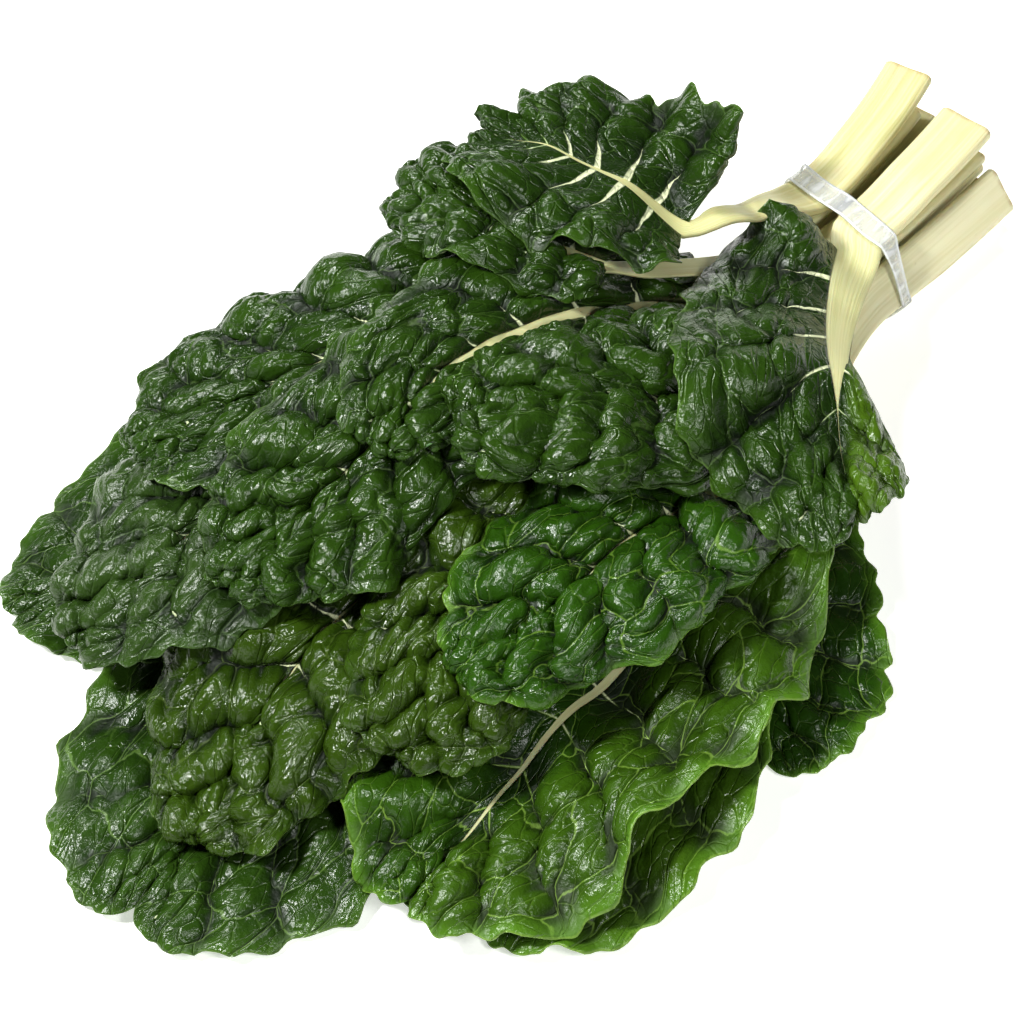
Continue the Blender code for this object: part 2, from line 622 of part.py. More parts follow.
def hull(points):
    """Corners of the convex outline round plane points, anticlockwise."""
    points = sorted(set(map(tuple, np.round(points, 5))))

    def half(ordered):
        chain = []
        for point in ordered:
            while len(chain) > 1:
                (ax, ay), (bx, by) = chain[-2], chain[-1]
                if (bx - ax) * (point[1] - ay) - (by - ay) * (point[0] - ax) > 0:
                    break
                chain.pop()
            chain.append(point)
        return chain[:-1]

    return np.array(half(points) + half(reversed(points)))


def grown(outline, by, corners=72):
    """A rounded outline that keeps the distance from a convex one, evenly divided."""
    angles = np.linspace(0, 2 * math.pi, 24, endpoint=False)
    circle = by * np.stack([np.cos(angles), np.sin(angles)], axis=1)
    ring = hull((outline[:, None] + circle[None]).reshape(-1, 2))
    ring = np.vstack([ring, ring[:1]])
    run = np.concatenate([[0.0], np.cumsum(np.linalg.norm(np.diff(ring, axis=0), axis=1))])
    at = np.linspace(0.0, run[-1], corners, endpoint=False)
    return np.stack([np.interp(at, run, ring[:, k]) for k in (0, 1)], axis=1)


def make_band(shapes, look, parts):
    """The clear band: a flat strip closed round all that passes through it."""
    held = []
    for shape in shapes:
        rings = shape.stalk(stalk_stations(shape))
        for edge in (BAND_X - BAND_WIDTH / 2, BAND_X + BAND_WIDTH / 2):
            for line in rings.transpose(1, 0, 2):
                held.append([np.interp(-edge, -line[:, 0], line[:, k]) for k in (1, 2)])
    inner = grown(hull(held), BAND_GAP)
    ahead = np.roll(inner, -1, 0) - np.roll(inner, 1, 0)
    outwards = np.stack([ahead[:, 1], -ahead[:, 0]], axis=1) / np.linalg.norm(ahead, axis=1)[:, None]
    outer = inner + BAND_THICKNESS * outwards
    strip = bmesh.new()
    rings = []
    for x, outline in ((-0.5, inner), (0.5, inner), (0.5, outer), (-0.5, outer)):
        at = BAND_X + x * BAND_WIDTH
        rings.append([strip.verts.new((at, y, z)) for y, z in outline])
    for one, two in zip(rings, rings[1:] + rings[:1]):
        for k in range(len(one)):
            strip.faces.new((one[k - 1], two[k - 1], two[k], one[k]))
    bmesh.ops.recalc_face_normals(strip, faces=strip.faces)
    mesh = bpy.data.meshes.new("band")
    strip.to_mesh(mesh)
    strip.free()
    mesh.shade_smooth()
    mesh.set_sharp_from_angle(angle=math.radians(40))
    return new_object("band", mesh, look, parts)


def centre_on_footprint(objects):
    """Moves all meshes so that the origin is under the middle of the bunch."""
    bpy.context.view_layer.update()
    graph = bpy.context.evaluated_depsgraph_get()
    corners = []
    for made in objects:
        shown = made.evaluated_get(graph)
        corners += [tuple(corner) for corner in shown.bound_box]
    low, high = np.min(corners, axis=0), np.max(corners, axis=0)
    for made in objects:
        made.location = (-(low[0] + high[0]) / 2, -(low[1] + high[1]) / 2, -low[2])


def main():
    for old in list(bpy.data.objects):
        bpy.data.objects.remove(old)
    parts = bpy.data.collections.new("chard_bunch")
    bpy.context.scene.collection.children.link(parts)
    green = material("blade_green", BLADE_GREEN, 0.35)
    white = material("stalk_white", STALK_WHITE, 0.45)
    clear = material("band_clear", BAND_CLEAR, 0.2, BAND_CLEAR[3])

    pile = Pile()
    shapes = []
    for leaf in LEAVES:
        shape = Shape(leaf, pile)
        add_to_pile(pile, shape)
        shapes.append(shape)

    made = []
    for shape in shapes:
        made.append(make_blade(shape, green, parts))
        made.append(make_stalk(shape, white, parts))
    made.append(make_band(shapes, clear, parts))
    centre_on_footprint(made)


main()
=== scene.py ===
"""The looks of a bunch of white-stemmed chard: puffed blades, ribbed stalks and a clear band.

The leaves are laid down by the same rule as the solids that they stand for, from the lowest to
the topmost, and are then modelled finely: one sheet for each blade, with its side veins sunk
between puffed ridges, and one ribbed loft for each stalk and midrib.

All lengths are in metres and all angles in degrees.
"""

import math
from dataclasses import dataclass
from functools import lru_cache

import bpy
import numpy as np
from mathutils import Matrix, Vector


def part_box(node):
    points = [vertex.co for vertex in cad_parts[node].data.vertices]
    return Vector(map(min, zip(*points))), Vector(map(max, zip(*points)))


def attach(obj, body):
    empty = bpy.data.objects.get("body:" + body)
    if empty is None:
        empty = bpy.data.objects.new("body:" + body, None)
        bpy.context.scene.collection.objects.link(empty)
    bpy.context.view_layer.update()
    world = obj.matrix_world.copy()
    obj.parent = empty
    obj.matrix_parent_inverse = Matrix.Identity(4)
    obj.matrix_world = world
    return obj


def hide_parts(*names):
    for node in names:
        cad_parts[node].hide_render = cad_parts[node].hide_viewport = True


bl_info = {
    "name": "Chard bunch",
    "version": (1, 0, 0),
    "blender": (4, 5, 0),
    "location": "3D View > Sidebar > Chard",
    "description": "Makes the leaves, stalks and band of a bunch of chard, with its stage",
    "category": "Add Mesh",
}

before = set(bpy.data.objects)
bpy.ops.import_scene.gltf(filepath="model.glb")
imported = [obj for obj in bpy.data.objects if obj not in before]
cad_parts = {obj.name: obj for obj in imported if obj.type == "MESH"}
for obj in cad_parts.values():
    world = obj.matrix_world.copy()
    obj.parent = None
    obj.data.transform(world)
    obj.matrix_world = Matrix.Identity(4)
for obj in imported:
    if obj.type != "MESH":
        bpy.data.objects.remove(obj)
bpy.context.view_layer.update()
BODY = "root"

# ---------------------------------------------------------------- how the bunch is laid

BAND_X, BAND_Y = 0.170, -0.011  # where the band goes round the stalks
BAND_GAP = 0.0009
STUB = 0.066  # stalk length past the band
STUB_SPREAD = 1.14  # how far the stalks fan out again by their cut ends
STUB_TURN = 0.005  # how far all the cut ends lie to the far side of the band
FLOOR_GAP = 0.0020  # height of the lowest stalks over the table at the band

SHEET = 0.0008  # blade thickness that the layout allows for
CLEAR = 0.0022  # room between a blade and the leaves under it
PRESSED = 0.0008  # how far the lowest spots of a blade are flattened by the table
HANG = 0.0025  # how much of that room a hanging margin may take up before it is raised
STALK_ROOM = 0.0018  # the same for a stalk
SLIT = 0.00045  # gap between blade and midrib in the layout
LEAST = 0.1  # share of its reach that a half has before it begins
MIDRIB_END, MIDRIB_THIN = 0.0009, 0.0014  # half-width and thickness of the midrib where it runs out

LOBE_RISE = 0.006  # how far the lowest lobes stand over the stalk that they flank
LATERALS = 8  # side veins on each half of a blade
CROWDING = 1.25  # how much closer together the side veins are by the tip
ROWS = 2 * LATERALS + 1  # rows of the layout's cage: every side vein, and every ridge between
COLUMNS = 6  # points of the cage from midrib to margin
CURL_STEPS = 12  # steps in which the curl is followed from midrib to margin

SINK, SINK_FROM = 0.40, 0.162  # share by which the pile sinks, and the x from which it does

PIECES = 6  # into which each edge of the cage is cut for the pile
STATION = 0.026  # the furthest that two rings of a petiole are apart

CELL = 0.003  # grid of the pile's height
GRID_LOW, GRID_HIGH = (-0.270, -0.210), (0.270, 0.200)
COVER_REACH, COVER_BLUR = 12, 2  # cells over which a cover is spread, and then smoothed
LIFT_SLOPE = 0.9  # the steepest that a leaf is sheared where it is raised

# stalk section of the layout: across (in half-widths) and up (in thicknesses)
STALK_SECTION = (
    (-0.92, 0.06), (0.92, 0.06), (1.02, -0.28), (0.72, -0.68),
    (0.30, -0.85), (-0.30, -0.85), (-0.72, -0.68), (-1.02, -0.28),
)
STALK_UNDER = 0.85  # share of the stalk's thickness that lies under its spine


@dataclass
class Leaf:
    """One leaf. Headings turn from -X towards +Y; the far side is the +Y one."""

    name: str
    base: tuple  # where the blade starts, seen from above
    heading: float
    turn: float  # change of heading from the blade's base to its tip
    length: float
    half_width: float
    slot: tuple  # the stalk's y in the band, from its middle, and its underside's height
    stalk: tuple  # width and thickness at the band
    halves: tuple = (1.0, 1.0)  # share of the half-width on the far and the near side
    late: float = 0.0  # share of the midrib before the near half begins
    rib: float = 0.0  # width of the stalk at the blade's base, if not the usual share of the width
    lobe: float = 128.0  # angle between the midrib's end and the lowest side veins
    rise: float = 0.0  # slope of the midrib at the blade's base
    dip: float = -18.0  # slope of the midrib at the tip
    root: float = 16.0  # slope at which both halves leave the midrib
    far: tuple = (-20.0, -60.0)  # slope at the far margin, at the base and further on
    near: tuple = (-20.0, -60.0)  # the same for the near margin
    roll: float = 0.0  # how far the stalk is rolled in the band, far side up
    cut: float = 0.0  # how much further its cut end lies from the band than the rest
    perch: float = 0.003  # height of the blade's base over what lies there
    hold: float = 0.0  # height of the blade's base, if it doesn't rest on what lies there
    follow: float = 1.0  # how closely the midrib follows what lies under it
    ridge: float = 0.0070  # height of the puffed ridges between the side veins
    ruffle: float = 0.0060  # height of the waves along the margin
    basal: tuple = (1.0, 0.2)  # share of its reach that the far half begins with, and where it has all
    lobed: float = 0.0  # how much larger that share is when the blade is made finely
    sweep: float = 0.0  # how much further to the far side its cut end lies
    enter: float = 0.0  # how much the stalk still has to turn where it meets the blade
    green: str = "deep"  # which of the greens it has
    shown: float = 0.5  # width of the midrib that the puffs leave open, as a share of the stalk's
    bare: float = 0.010  # how far along the midrib it is left fully open
    plain: float = 0.0  # share of the reach by which the ridges beside the midrib have risen
    white: float = 0.0012  # half-width of the white side veins at the midrib
    pale: float = 0.6  # how pale the stalk is, from 0 to 1
    youth: tuple = (0.0, 0.0)  # how yellow the far and the near half are
    seed: int = 1


# From the lowest to the topmost
LEAVES = (
    Leaf("leaf_01", (0.056, -0.056), -48, -6, 0.112, 0.054, (-0.0075, 0.0020), (0.0138, 0.0070),
         dip=-4, root=0, far=(0, -8), near=(4, 10), ridge=0.0035, ruffle=0.004, seed=11, green="young"),
    Leaf("leaf_02", (0.038, -0.050), -22, 2, 0.182, 0.076, (-0.0225, 0.0020), (0.0140, 0.0070),
         dip=0, root=0, far=(-6, -6), near=(0, 34), ridge=0.0050, ruffle=0.009, seed=12, green="young",
         youth=(0.1, 0.5)),
    Leaf("leaf_03", (-0.034, -0.004), -4, -8, 0.184, 0.072, (0.0075, 0.0020), (0.0140, 0.0070),
         dip=-4, root=0, far=(-4, -6), near=(-4, -6), ridge=0.0045, perch=0.004, seed=13, green="flat"),
    Leaf("leaf_04", (-0.008, 0.046), 14, 6, 0.162, 0.052, (0.0222, 0.0020), (0.0136, 0.0070),
         dip=-4, root=2, far=(0, 4), near=(-4, -8), ridge=0.0035, ruffle=0.007, cut=0.003, seed=14,
         green="flat"),
    Leaf("leaf_05", (0.032, -0.080), -4, -4, 0.182, 0.064, (-0.0145, 0.0098), (0.0146, 0.0070),
         dip=-4, root=8, far=(-2, -4), near=(6, 30), ridge=0.0072, ruffle=0.013, perch=0.005, seed=15,
         green="young", shown=0.60, plain=0.30, white=0.0007, youth=(0.1, 0.35)),
    Leaf("leaf_06", (-0.022, -0.014), 12, -36, 0.180, 0.050, (0.0008, 0.0098), (0.0140, 0.0070),
         lobe=112, rise=8, dip=-56, root=30, far=(-12, -82), near=(-12, -80), ridge=0.0075, perch=0.010,
         follow=0.5, cut=-0.003, seed=16, green="olive", shown=0.3),
    Leaf("leaf_07", (-0.006, 0.040), 8, -4, 0.166, 0.052, (0.0160, 0.0098), (0.0140, 0.0070),
         lobe=112, rise=4, dip=-44, root=24, far=(-12, -80), near=(-12, -66), perch=0.004, follow=0.7,
         cut=0.002, seed=17, green="waxy", shown=0.2),
    Leaf("leaf_08", (0.012, -0.034), -10, -6, 0.144, 0.044, (-0.0118, 0.0176), (0.0120, 0.0070),
         lobe=106, rise=4, dip=-44, root=30, far=(-12, -80), near=(-12, -86), ridge=0.0075, perch=0.002,
         follow=0.8, seed=18, green="olive", shown=0.2),
    # leaf_09's stalk is painted fully pale as painted light, against the shade it lies in, rolled away from
    # the lights
    Leaf("leaf_09", (0.056, -0.066), -2, 2, 0.152, 0.044, (-0.0288, 0.0159), (0.0188, 0.0078),
         lobe=104, roll=50, rise=2, dip=-38, root=24, far=(-10, -66), near=(-16, -86), ridge=0.0075,
         perch=0.004, follow=0.8, cut=-0.002, seed=19, green="bright", shown=0.2, pale=1.0),
    Leaf("leaf_10", (0.056, 0.036), 18, 4, 0.172, 0.056, (0.0152, 0.0176), (0.0145, 0.0070),
         lobe=104, rise=2, dip=-34, root=12, far=(-16, -76), near=(-10, -40), perch=0.0, cut=0.005,
         seed=20, shown=0.2),
    Leaf("leaf_11", (0.008, 0.018), 3, -4, 0.134, 0.044, (0.0010, 0.0176), (0.0130, 0.0070),
         lobe=104, rise=2, dip=-40, far=(-10, -66), near=(-12, -76), perch=0.0, follow=0.9, seed=21,
         shown=0.15),
    Leaf("leaf_12", (0.098, -0.006), 28, -50, 0.190, 0.056, (-0.0004, 0.0256), (0.0125, 0.0068),
         halves=(0.75, 0.6), rib=0.0098, lobe=100, rise=2, dip=-74, root=14, far=(-8, -44),
         near=(-20, -84), perch=0.0, follow=0.9, cut=0.003, seed=23, shown=0.8),
    Leaf("leaf_13", (0.090, -0.057), 21, 0, 0.138, 0.044, (-0.0132, 0.0256), (0.0120, 0.0068),
         lobe=100, rise=4, dip=-44, root=30, far=(-12, -70), near=(-16, -86), ridge=0.0080, perch=0.0,
         follow=0.9, cut=-0.002, seed=22, shown=0.1),
    Leaf("leaf_14", (0.066, 0.018), 64, 8, 0.098, 0.046, (0.0152, 0.0256), (0.0120, 0.0068),
         halves=(1.0, 0.6), lobe=104, rise=6, dip=-80, root=14, far=(-10, -60), near=(-10, -60),
         perch=0.0, follow=0.4, cut=-0.004, seed=26, enter=40),
    Leaf("leaf_15", (0.156, -0.0290), -29, -24, 0.156, 0.056, (-0.0096, 0.0334), (0.0215, 0.0095),
         halves=(1.1, 0.75), rib=0.0185, lobe=98, late=0.42, hold=0.0415, rise=-14, dip=-24, root=4,
         far=(-26, -84), near=(10, 34), ridge=0.0065, ruffle=0.010, follow=0.0, seed=25,
         basal=(0.52, 0.20), lobed=0.22, sweep=0.002, shown=0.12, bare=0.075, plain=0.30, white=0.0014,
         pale=0.45, youth=(0.0, 0.75)),
    Leaf("leaf_16", (0.1005, 0.0095), 72, 2, 0.096, 0.050, (0.0165, 0.0334), (0.0190, 0.0085),
         halves=(0.72, 0.85), rib=0.0085, lobe=108, rise=4, dip=-66, root=14, far=(8, -36),
         near=(-14, -58), ridge=0.0060, ruffle=0.010, perch=-0.004, follow=0.3, cut=0.004, seed=24,
         basal=(1.7, 0.6), enter=50, sweep=0.006, plain=0.75, white=0.0015, pale=0.15),
)


def smooth_step(x):
    """0 below 0, 1 above 1, and an even curve between."""
    x = np.clip(x, 0.0, 1.0)
    return x * x * (3.0 - 2.0 * x)


def wave(place, turns, phase):
    """A sine that turns so many times from 0 to 1."""
    return np.sin(2 * math.pi * turns * place + phase)


def smooth_max(a, b, softness):
    """The larger of a and b, rounded where they cross."""
    return 0.5 * (a + b + np.sqrt((a - b) ** 2 + softness**2))


def smooth_cover(grid, slope):
    """A cover over a grid that nowhere cuts into it, with no slope steeper than this."""
    for _ in range(COVER_REACH):
        for step in (-1, 1):
            for axis in (0, 1):
                grid = np.maximum(grid, np.roll(grid, step, axis) - slope * CELL)
            for turn in (-1, 1):
                grid = np.maximum(grid, np.roll(grid, (step, turn), (0, 1)) - 1.4 * slope * CELL)
    steps = range(-COVER_BLUR, COVER_BLUR + 1)
    for axis in (0, 1):
        grid = np.max([np.roll(grid, k, axis) for k in steps], axis=0)
    weights = [math.cos(0.5 * math.pi * k / (COVER_BLUR + 1)) ** 2 for k in steps]
    for axis in (0, 1):
        grid = sum(w * np.roll(grid, k, axis) for k, w in zip(steps, weights)) / sum(weights)
    return grid


def widened(values, reach, axes):
    """Each value of a grid raised to the largest within this reach."""
    for axis in axes:
        pad = [(reach, reach) if k == axis else (0, 0) for k in range(values.ndim)]
        padded = np.pad(values, pad, mode="edge")
        count = values.shape[axis]
        shifted = [np.take(padded, range(k, k + count), axis) for k in range(2 * reach + 1)]
        values = np.max(shifted, axis=0)
    return values


def refined(points, pieces=PIECES):
    """A grid of points with others on the straight lines between them."""
    for axis in (1, 2):
        first, second = (np.take(points, range(k, points.shape[axis] - 1 + k), axis) for k in (0, 1))
        between = [first + (second - first) * t for t in np.arange(pieces) / pieces]
        last = np.take(points, [-1], axis)
        points = np.concatenate(between + [last], axis)
    return points


def grid_of(value):
    """A grid, seen from above, that holds this value in every cell."""
    return np.full([round((high - low) / CELL) + 1 for low, high in zip(GRID_LOW, GRID_HIGH)], value)


def cells_of(points, grid):
    """The cell in which each point lies."""
    at = (points[..., :2].reshape(-1, 2) - GRID_LOW) / CELL
    return tuple(np.clip(np.round(at).astype(int), 0, np.array(grid.shape) - 1).T)


class Pile:
    """Height of everything laid down so far."""

    def __init__(self):
        self.top = grid_of(SHEET / 2)
        self.bare = grid_of(True)

    def add(self, points):
        """Raises the pile to these surface points."""
        cells = cells_of(points, self.top)
        np.maximum.at(self.top, cells, points[..., 2].ravel())
        self.bare[cells] = False

    def need(self, points, room):
        """How far each point must be raised to clear the pile, or to press on the table."""
        cells = cells_of(points, self.top)
        room = np.where(self.bare[cells], -PRESSED, np.broadcast_to(room, points.shape[:-1]).ravel())
        return (self.top[cells] + room).reshape(points.shape[:-1]) - points[..., 2]

    def lift(self, grids, needs):
        """A gentle lift, place by place, that raises every point as far as it needs."""
        least = np.zeros_like(self.top)
        for points, need in zip(grids, needs):
            np.maximum.at(least, cells_of(points, least), need.ravel())
        return smooth_cover(least, LIFT_SLOPE)

    def clearance(self, points):
        """Height of the points over the pile under them."""
        cells = cells_of(points, self.top)
        return points[..., 2] - self.top[cells].reshape(points.shape[:-1])

    def blanket(self):
        """A smooth cover drawn over the pile."""
        return smooth_cover(self.top, 0.8)


def read(grid, x, y, evenly=False):
    """The value of a grid at any place; evenly, there is no crease between its cells either."""
    margin = 1 if evenly else 0
    lines = []
    for place, low, count in zip((x, y), GRID_LOW, grid.shape):
        place = np.clip((place - low) / CELL, margin, count - 1.001 - 2 * margin)
        base = place.astype(int)
        t = place - base
        shares = (1 - t, t)
        if evenly:
            shares = ((1 - t) ** 3 / 6, (3 * t**3 - 6 * t**2 + 4) / 6,
                      (-3 * t**3 + 3 * t**2 + 3 * t + 1) / 6, t**3 / 6)
        lines.append([(base - margin + k, share) for k, share in enumerate(shares)])
    return sum(a * b * grid[i, j] for i, a in lines[0] for j, b in lines[1])


def sunk(points):
    """The points after the pile has sunk under its own weight, which the band keeps it from doing."""
    share = SINK * smooth_step((SINK_FROM - points[..., 0]) / 0.035)
    points[..., 2] *= 1 - share
    return points


def run_of(points):
    """How far along a line of points each of them lies."""
    return np.concatenate([[0.0], np.cumsum(np.linalg.norm(np.diff(points, axis=0), axis=1))])


def direction(heading, slope):
    """Unit vectors with this heading and slope."""
    level = np.cos(slope)
    return np.stack([-np.cos(heading) * level, np.sin(heading) * level, np.sin(slope)], axis=-1)


def cage(rows=ROWS, columns=COLUMNS):
    """(side, p, q) of a grid over both halves: first axis the side, then rows, then columns."""
    return np.meshgrid((-1.0, 1.0), np.linspace(0, 1, rows), np.linspace(0, 1, columns), indexing="ij")


class Shape:
    """The surface of one leaf: its spine, its cross curl and its relief, lying on the pile.

    Distances s along the spine are 0 at the blade's base, less on the stalk and more on the midrib.
    """

    STEP = 0.002  # spacing of the spine's points

    def __init__(self, leaf, pile):
        self.leaf, self.pile = leaf, pile
        self.fine = False  # once all leaves are laid down, the finer detail is switched on
        self.chance = np.random.default_rng(leaf.seed)
        self.puffs = 0.7 + 0.6 * self.chance.random((2, LATERALS))
        self.waves = self.chance.random((2, 3)) * 2 * math.pi
        self.lift = np.zeros_like(pile.top)
        self.midrib_s = (leaf.length - self.tip_reach()) * (1 - (1 / (ROWS - 1)) ** CROWDING)
        self._lay_spine()
        self._set_heights()

    def tip_reach(self):
        """How far the last side veins reach past the end of the midrib."""
        return self.leaf.half_width * math.sin(math.pi * 0.95) ** 0.8

    # -- spine

    def _stalk_path(self):
        """Plan points of the stalk from its cut end to the blade's base."""
        leaf = self.leaf
        head = math.radians(leaf.heading - leaf.enter)
        base = np.array(leaf.base)
        held = np.array((BAND_X, BAND_Y + leaf.slot[0]))
        cut_y = BAND_Y + leaf.slot[0] * STUB_SPREAD + STUB_TURN + leaf.sweep
        cut = np.array((BAND_X + STUB + leaf.cut, cut_y))
        along = np.array((1.0, 0.0))
        reach = 0.45 * np.linalg.norm(held - base)
        leave, arrive = held - along * reach, base + reach * np.array((math.cos(head), -math.sin(head)))
        t = np.linspace(0.0, 1.0, 40)[:, None]
        ends = (1 - t) ** 3 * held + t**3 * base
        curve = ends + 3 * t * (1 - t) * ((1 - t) * leave + t * arrive)
        bow = held + 0.45 * STUB * along
        t = np.linspace(0.0, 1.0, 24, endpoint=False)[:, None]
        stub = (1 - t) ** 2 * cut + 2 * t * (1 - t) * bow + t * t * held
        return np.vstack([stub, curve])

    def _lay_spine(self):
        leaf = self.leaf
        path = self._stalk_path()
        run = run_of(path)
        self.cut_s = -run[-1]
        self.band_s = np.interp(BAND_X, path[::-1, 0], self.cut_s + run[::-1])
        count = int(-self.cut_s / self.STEP) + 1
        back = np.linspace(self.cut_s, 0.0, count)
        plan = np.stack([np.interp(back - self.cut_s, run, path[:, k]) for k in (0, 1)], axis=1)
        gone = np.gradient(plan, axis=0)
        back_heading = np.arctan2(gone[:, 1], -gone[:, 0])
        back_heading += math.radians(leaf.enter) * smooth_step(1 + back / 0.020)
        back_heading = np.where(back > -2.5 * self.STEP, math.radians(leaf.heading), back_heading)

        ahead = np.arange(1, int((leaf.length + 0.02) / self.STEP) + 1) * self.STEP
        share = np.clip(ahead / leaf.length, 0.0, 1.1)
        heading = np.radians(leaf.heading + leaf.turn * share)
        slope = np.radians(leaf.rise + (leaf.dip - leaf.rise) * share**1.6)
        walked = np.cumsum(self.STEP * direction(heading, slope), axis=0)

        self.s = np.concatenate([back, ahead])
        self.x = np.concatenate([plan[:, 0], leaf.base[0] + walked[:, 0]])
        self.y = np.concatenate([plan[:, 1], leaf.base[1] + walked[:, 1]])
        self.bump = np.concatenate([np.zeros(len(back)), walked[:, 2]])
        self.heading = np.concatenate([back_heading, heading])
        self.slope = np.concatenate([math.radians(leaf.rise) * np.exp(back / 0.02), slope])
        gone = smooth_step((self.s - self.band_s - 0.01) / max(-self.band_s - 0.02, 0.02))
        self.bank = np.radians(leaf.roll - leaf.roll * gone)

    def _frame(self, s):
        """Sideways vector and normal of the spine at s."""
        heading, slope, bank = (np.interp(s, self.s, v) for v in (self.heading, self.slope, self.bank))
        side = np.stack([np.sin(heading), np.cos(heading), np.zeros_like(heading)], axis=-1)
        up = np.cross(side, direction(heading, slope))
        level, steep = np.cos(bank)[..., None], np.sin(bank)[..., None]
        return side * level + up * steep, up * level - side * steep

    # -- stalk

    def _tapered(self, s, held, at_blade, at_tip, power, flare):
        """A measure of the stalk, given in the band, at the blade's base and at the midrib's tip."""
        back = np.clip(s / self.band_s, 0.0, 1.0)
        stub = np.clip((self.band_s - s) / STUB, 0.0, 1.0)
        petiole = at_blade + (held - at_blade) * smooth_step(back) + flare * held * stub
        ahead = np.clip(s / self.midrib_s, 0.0, 1.0)
        midrib = at_tip + (at_blade - at_tip) * (1 - ahead) ** power
        return np.where(s < 0, petiole, midrib)

    def stalk_half_width(self, s):
        leaf = self.leaf
        at_blade = (leaf.rib or 0.68 * leaf.stalk[0]) / 2
        half = self._tapered(s, leaf.stalk[0] / 2, at_blade, MIDRIB_END, 1.1, 0.04)
        if self.fine:
            open_share = leaf.shown + (1 - leaf.shown) * smooth_step((leaf.bare - s) / 0.030 + 1)
            half = half * open_share * np.clip((self.rib_tip() - s) / 0.02, 0.0, 1.0) ** 0.5
        return half

    def stalk_thickness(self, s):
        held = self.leaf.stalk[1]
        return self._tapered(s, held, 0.72 * held, MIDRIB_THIN, 1.2, 0.1)

    def rib_start(self, p):
        """Distance along the midrib at which the side vein p leaves it."""
        return (self.leaf.length - self.tip_reach()) * (1 - (1 - p) ** CROWDING)

    def rib_tip(self):
        """Where the finely made midrib runs out."""
        return self.rib_start(RIB_ENDS)

    # -- blade

    def _cross(self, s, rest, side, share):
        """Sideways and upward reach of the curled cross-section, and its slope there."""
        leaf = self.leaf
        on = smooth_step((s / leaf.length + 0.12) / 0.5)
        far = leaf.far[0] + (leaf.far[1] - leaf.far[0]) * on
        near = leaf.near[0] + (leaf.near[1] - leaf.near[0]) * on
        margin = np.where(side > 0, far, near)
        margin = np.where(margin < 0, margin * share, margin)
        root = leaf.root * (0.35 + 0.65 * share)

        def slope(a):
            return np.radians(root + (margin - root) * (a / leaf.half_width) ** 1.4)

        out, up = np.zeros_like(rest), np.zeros_like(rest)
        for k in range(CURL_STEPS):
            angle = slope(rest * (k + 0.5) / CURL_STEPS)
            out += np.cos(angle) * rest / CURL_STEPS
            up += np.sin(angle) * rest / CURL_STEPS
        return out, up, slope(rest)

    def reach(self, side, p):
        """How far the blade reaches along the side vein p."""
        leaf = self.leaf
        reach = leaf.half_width * np.sin(math.pi * (0.17 + 0.78 * p)) ** 0.8
        reach = reach * (1 + (np.where(side > 0, *leaf.halves) - 1) * smooth_step((1 - p) / 0.15))
        start = leaf.basal[0] + (leaf.lobed if self.fine else 0.0)
        first = start + (1 - start) * smooth_step(p / leaf.basal[1])
        least = FINE_LEAST if self.fine else LEAST
        later = least + (1 - least) * smooth_step((p - leaf.late) / 0.25) if leaf.late else 1.0
        reach = reach * np.where(side > 0, first, later)
        uneven = wave(p, 2.5, self.waves[(side > 0).astype(int), 2])
        reach = reach * (1 + 0.05 * uneven * (1 - p))
        if self.fine:
            reach = reach * (1 + self._notches(side, p) * (1 - p**6))
        return reach

    def _notches(self, side, p):
        """The uneven cut of the margin, as a share of the reach."""
        phase = self.waves[(side > 0).astype(int), 0]
        lobes = np.abs(wave(p, LATERALS / 2, 0.5 * wave(p, 3, phase))) - 0.6
        return 0.060 * lobes + 0.020 * wave(p, 17, 2 * phase) + 0.008 * wave(p, 29, phase)

    def flat(self, side, p, q):
        """The blade's point (p, q) before it is bent: how far along it lies, and how far across.

        The second is in two parts, half the midrib with its slit, and the rest.
        p runs from the basal lobe (0) to the tip (1) and q from the midrib (0) to the margin (1).
        """
        leaf = self.leaf
        angle = np.radians(leaf.lobe) * (1 - p) ** 0.9
        rho = self.reach(side, p) * q
        start = self.rib_start(p)
        along = start + rho * np.cos(angle) + 0.10 * rho * q * np.sin(angle)
        if self.fine:
            inner = 0.82 * self.stalk_half_width(start)
        else:
            inner = (self.stalk_half_width(start) + SLIT) * (p < 1)
        return along, inner, rho * np.sin(angle)

    def relief(self, side, p, q):
        """Height of ridges and ruffles over the smooth blade."""
        leaf = self.leaf
        count = self.field_count(side, p, q)
        k = (side > 0).astype(int)
        puffs = self.puffs[k, np.clip(np.floor(count).astype(int), 0, LATERALS - 1)]
        lane = np.abs(np.sin(math.pi * count))
        middle = np.sin(math.pi * np.clip(q, 0, 1) ** 0.85) ** 0.8 * smooth_step((1.04 - p) / 0.22)
        ears = LOBE_RISE * smooth_step((0.16 - p) / 0.16) * np.sqrt(q)
        ruffles = wave(p, 2.2, self.waves[k, 0]) + 0.5 * wave(p, 4.3, self.waves[k, 1])
        edge = leaf.ruffle * ruffles * q**2.2 * (1 - p**4)
        if not self.fine:
            return leaf.ridge * puffs * (1.35 * lane - 0.35) * middle + ears + edge
        ridges = RIDGE_SHARE * leaf.ridge * (1.35 * puffs * lane**0.7 - 0.35) * middle
        if leaf.plain:
            ridges = ridges * smooth_step(q / leaf.plain)
        frill = wave(p, 9.3, 2 * self.waves[k, 1] + 2.5 * q) * q**4 * (1 - p**6)
        edge = edge + 0.30 * leaf.ruffle * frill
        reach = self.reach(side, p)
        hidden = FAINT_SINK * (1 - smooth_step(reach / 0.008))
        return (ridges + ears + edge) * smooth_step(reach / 0.022) - hidden

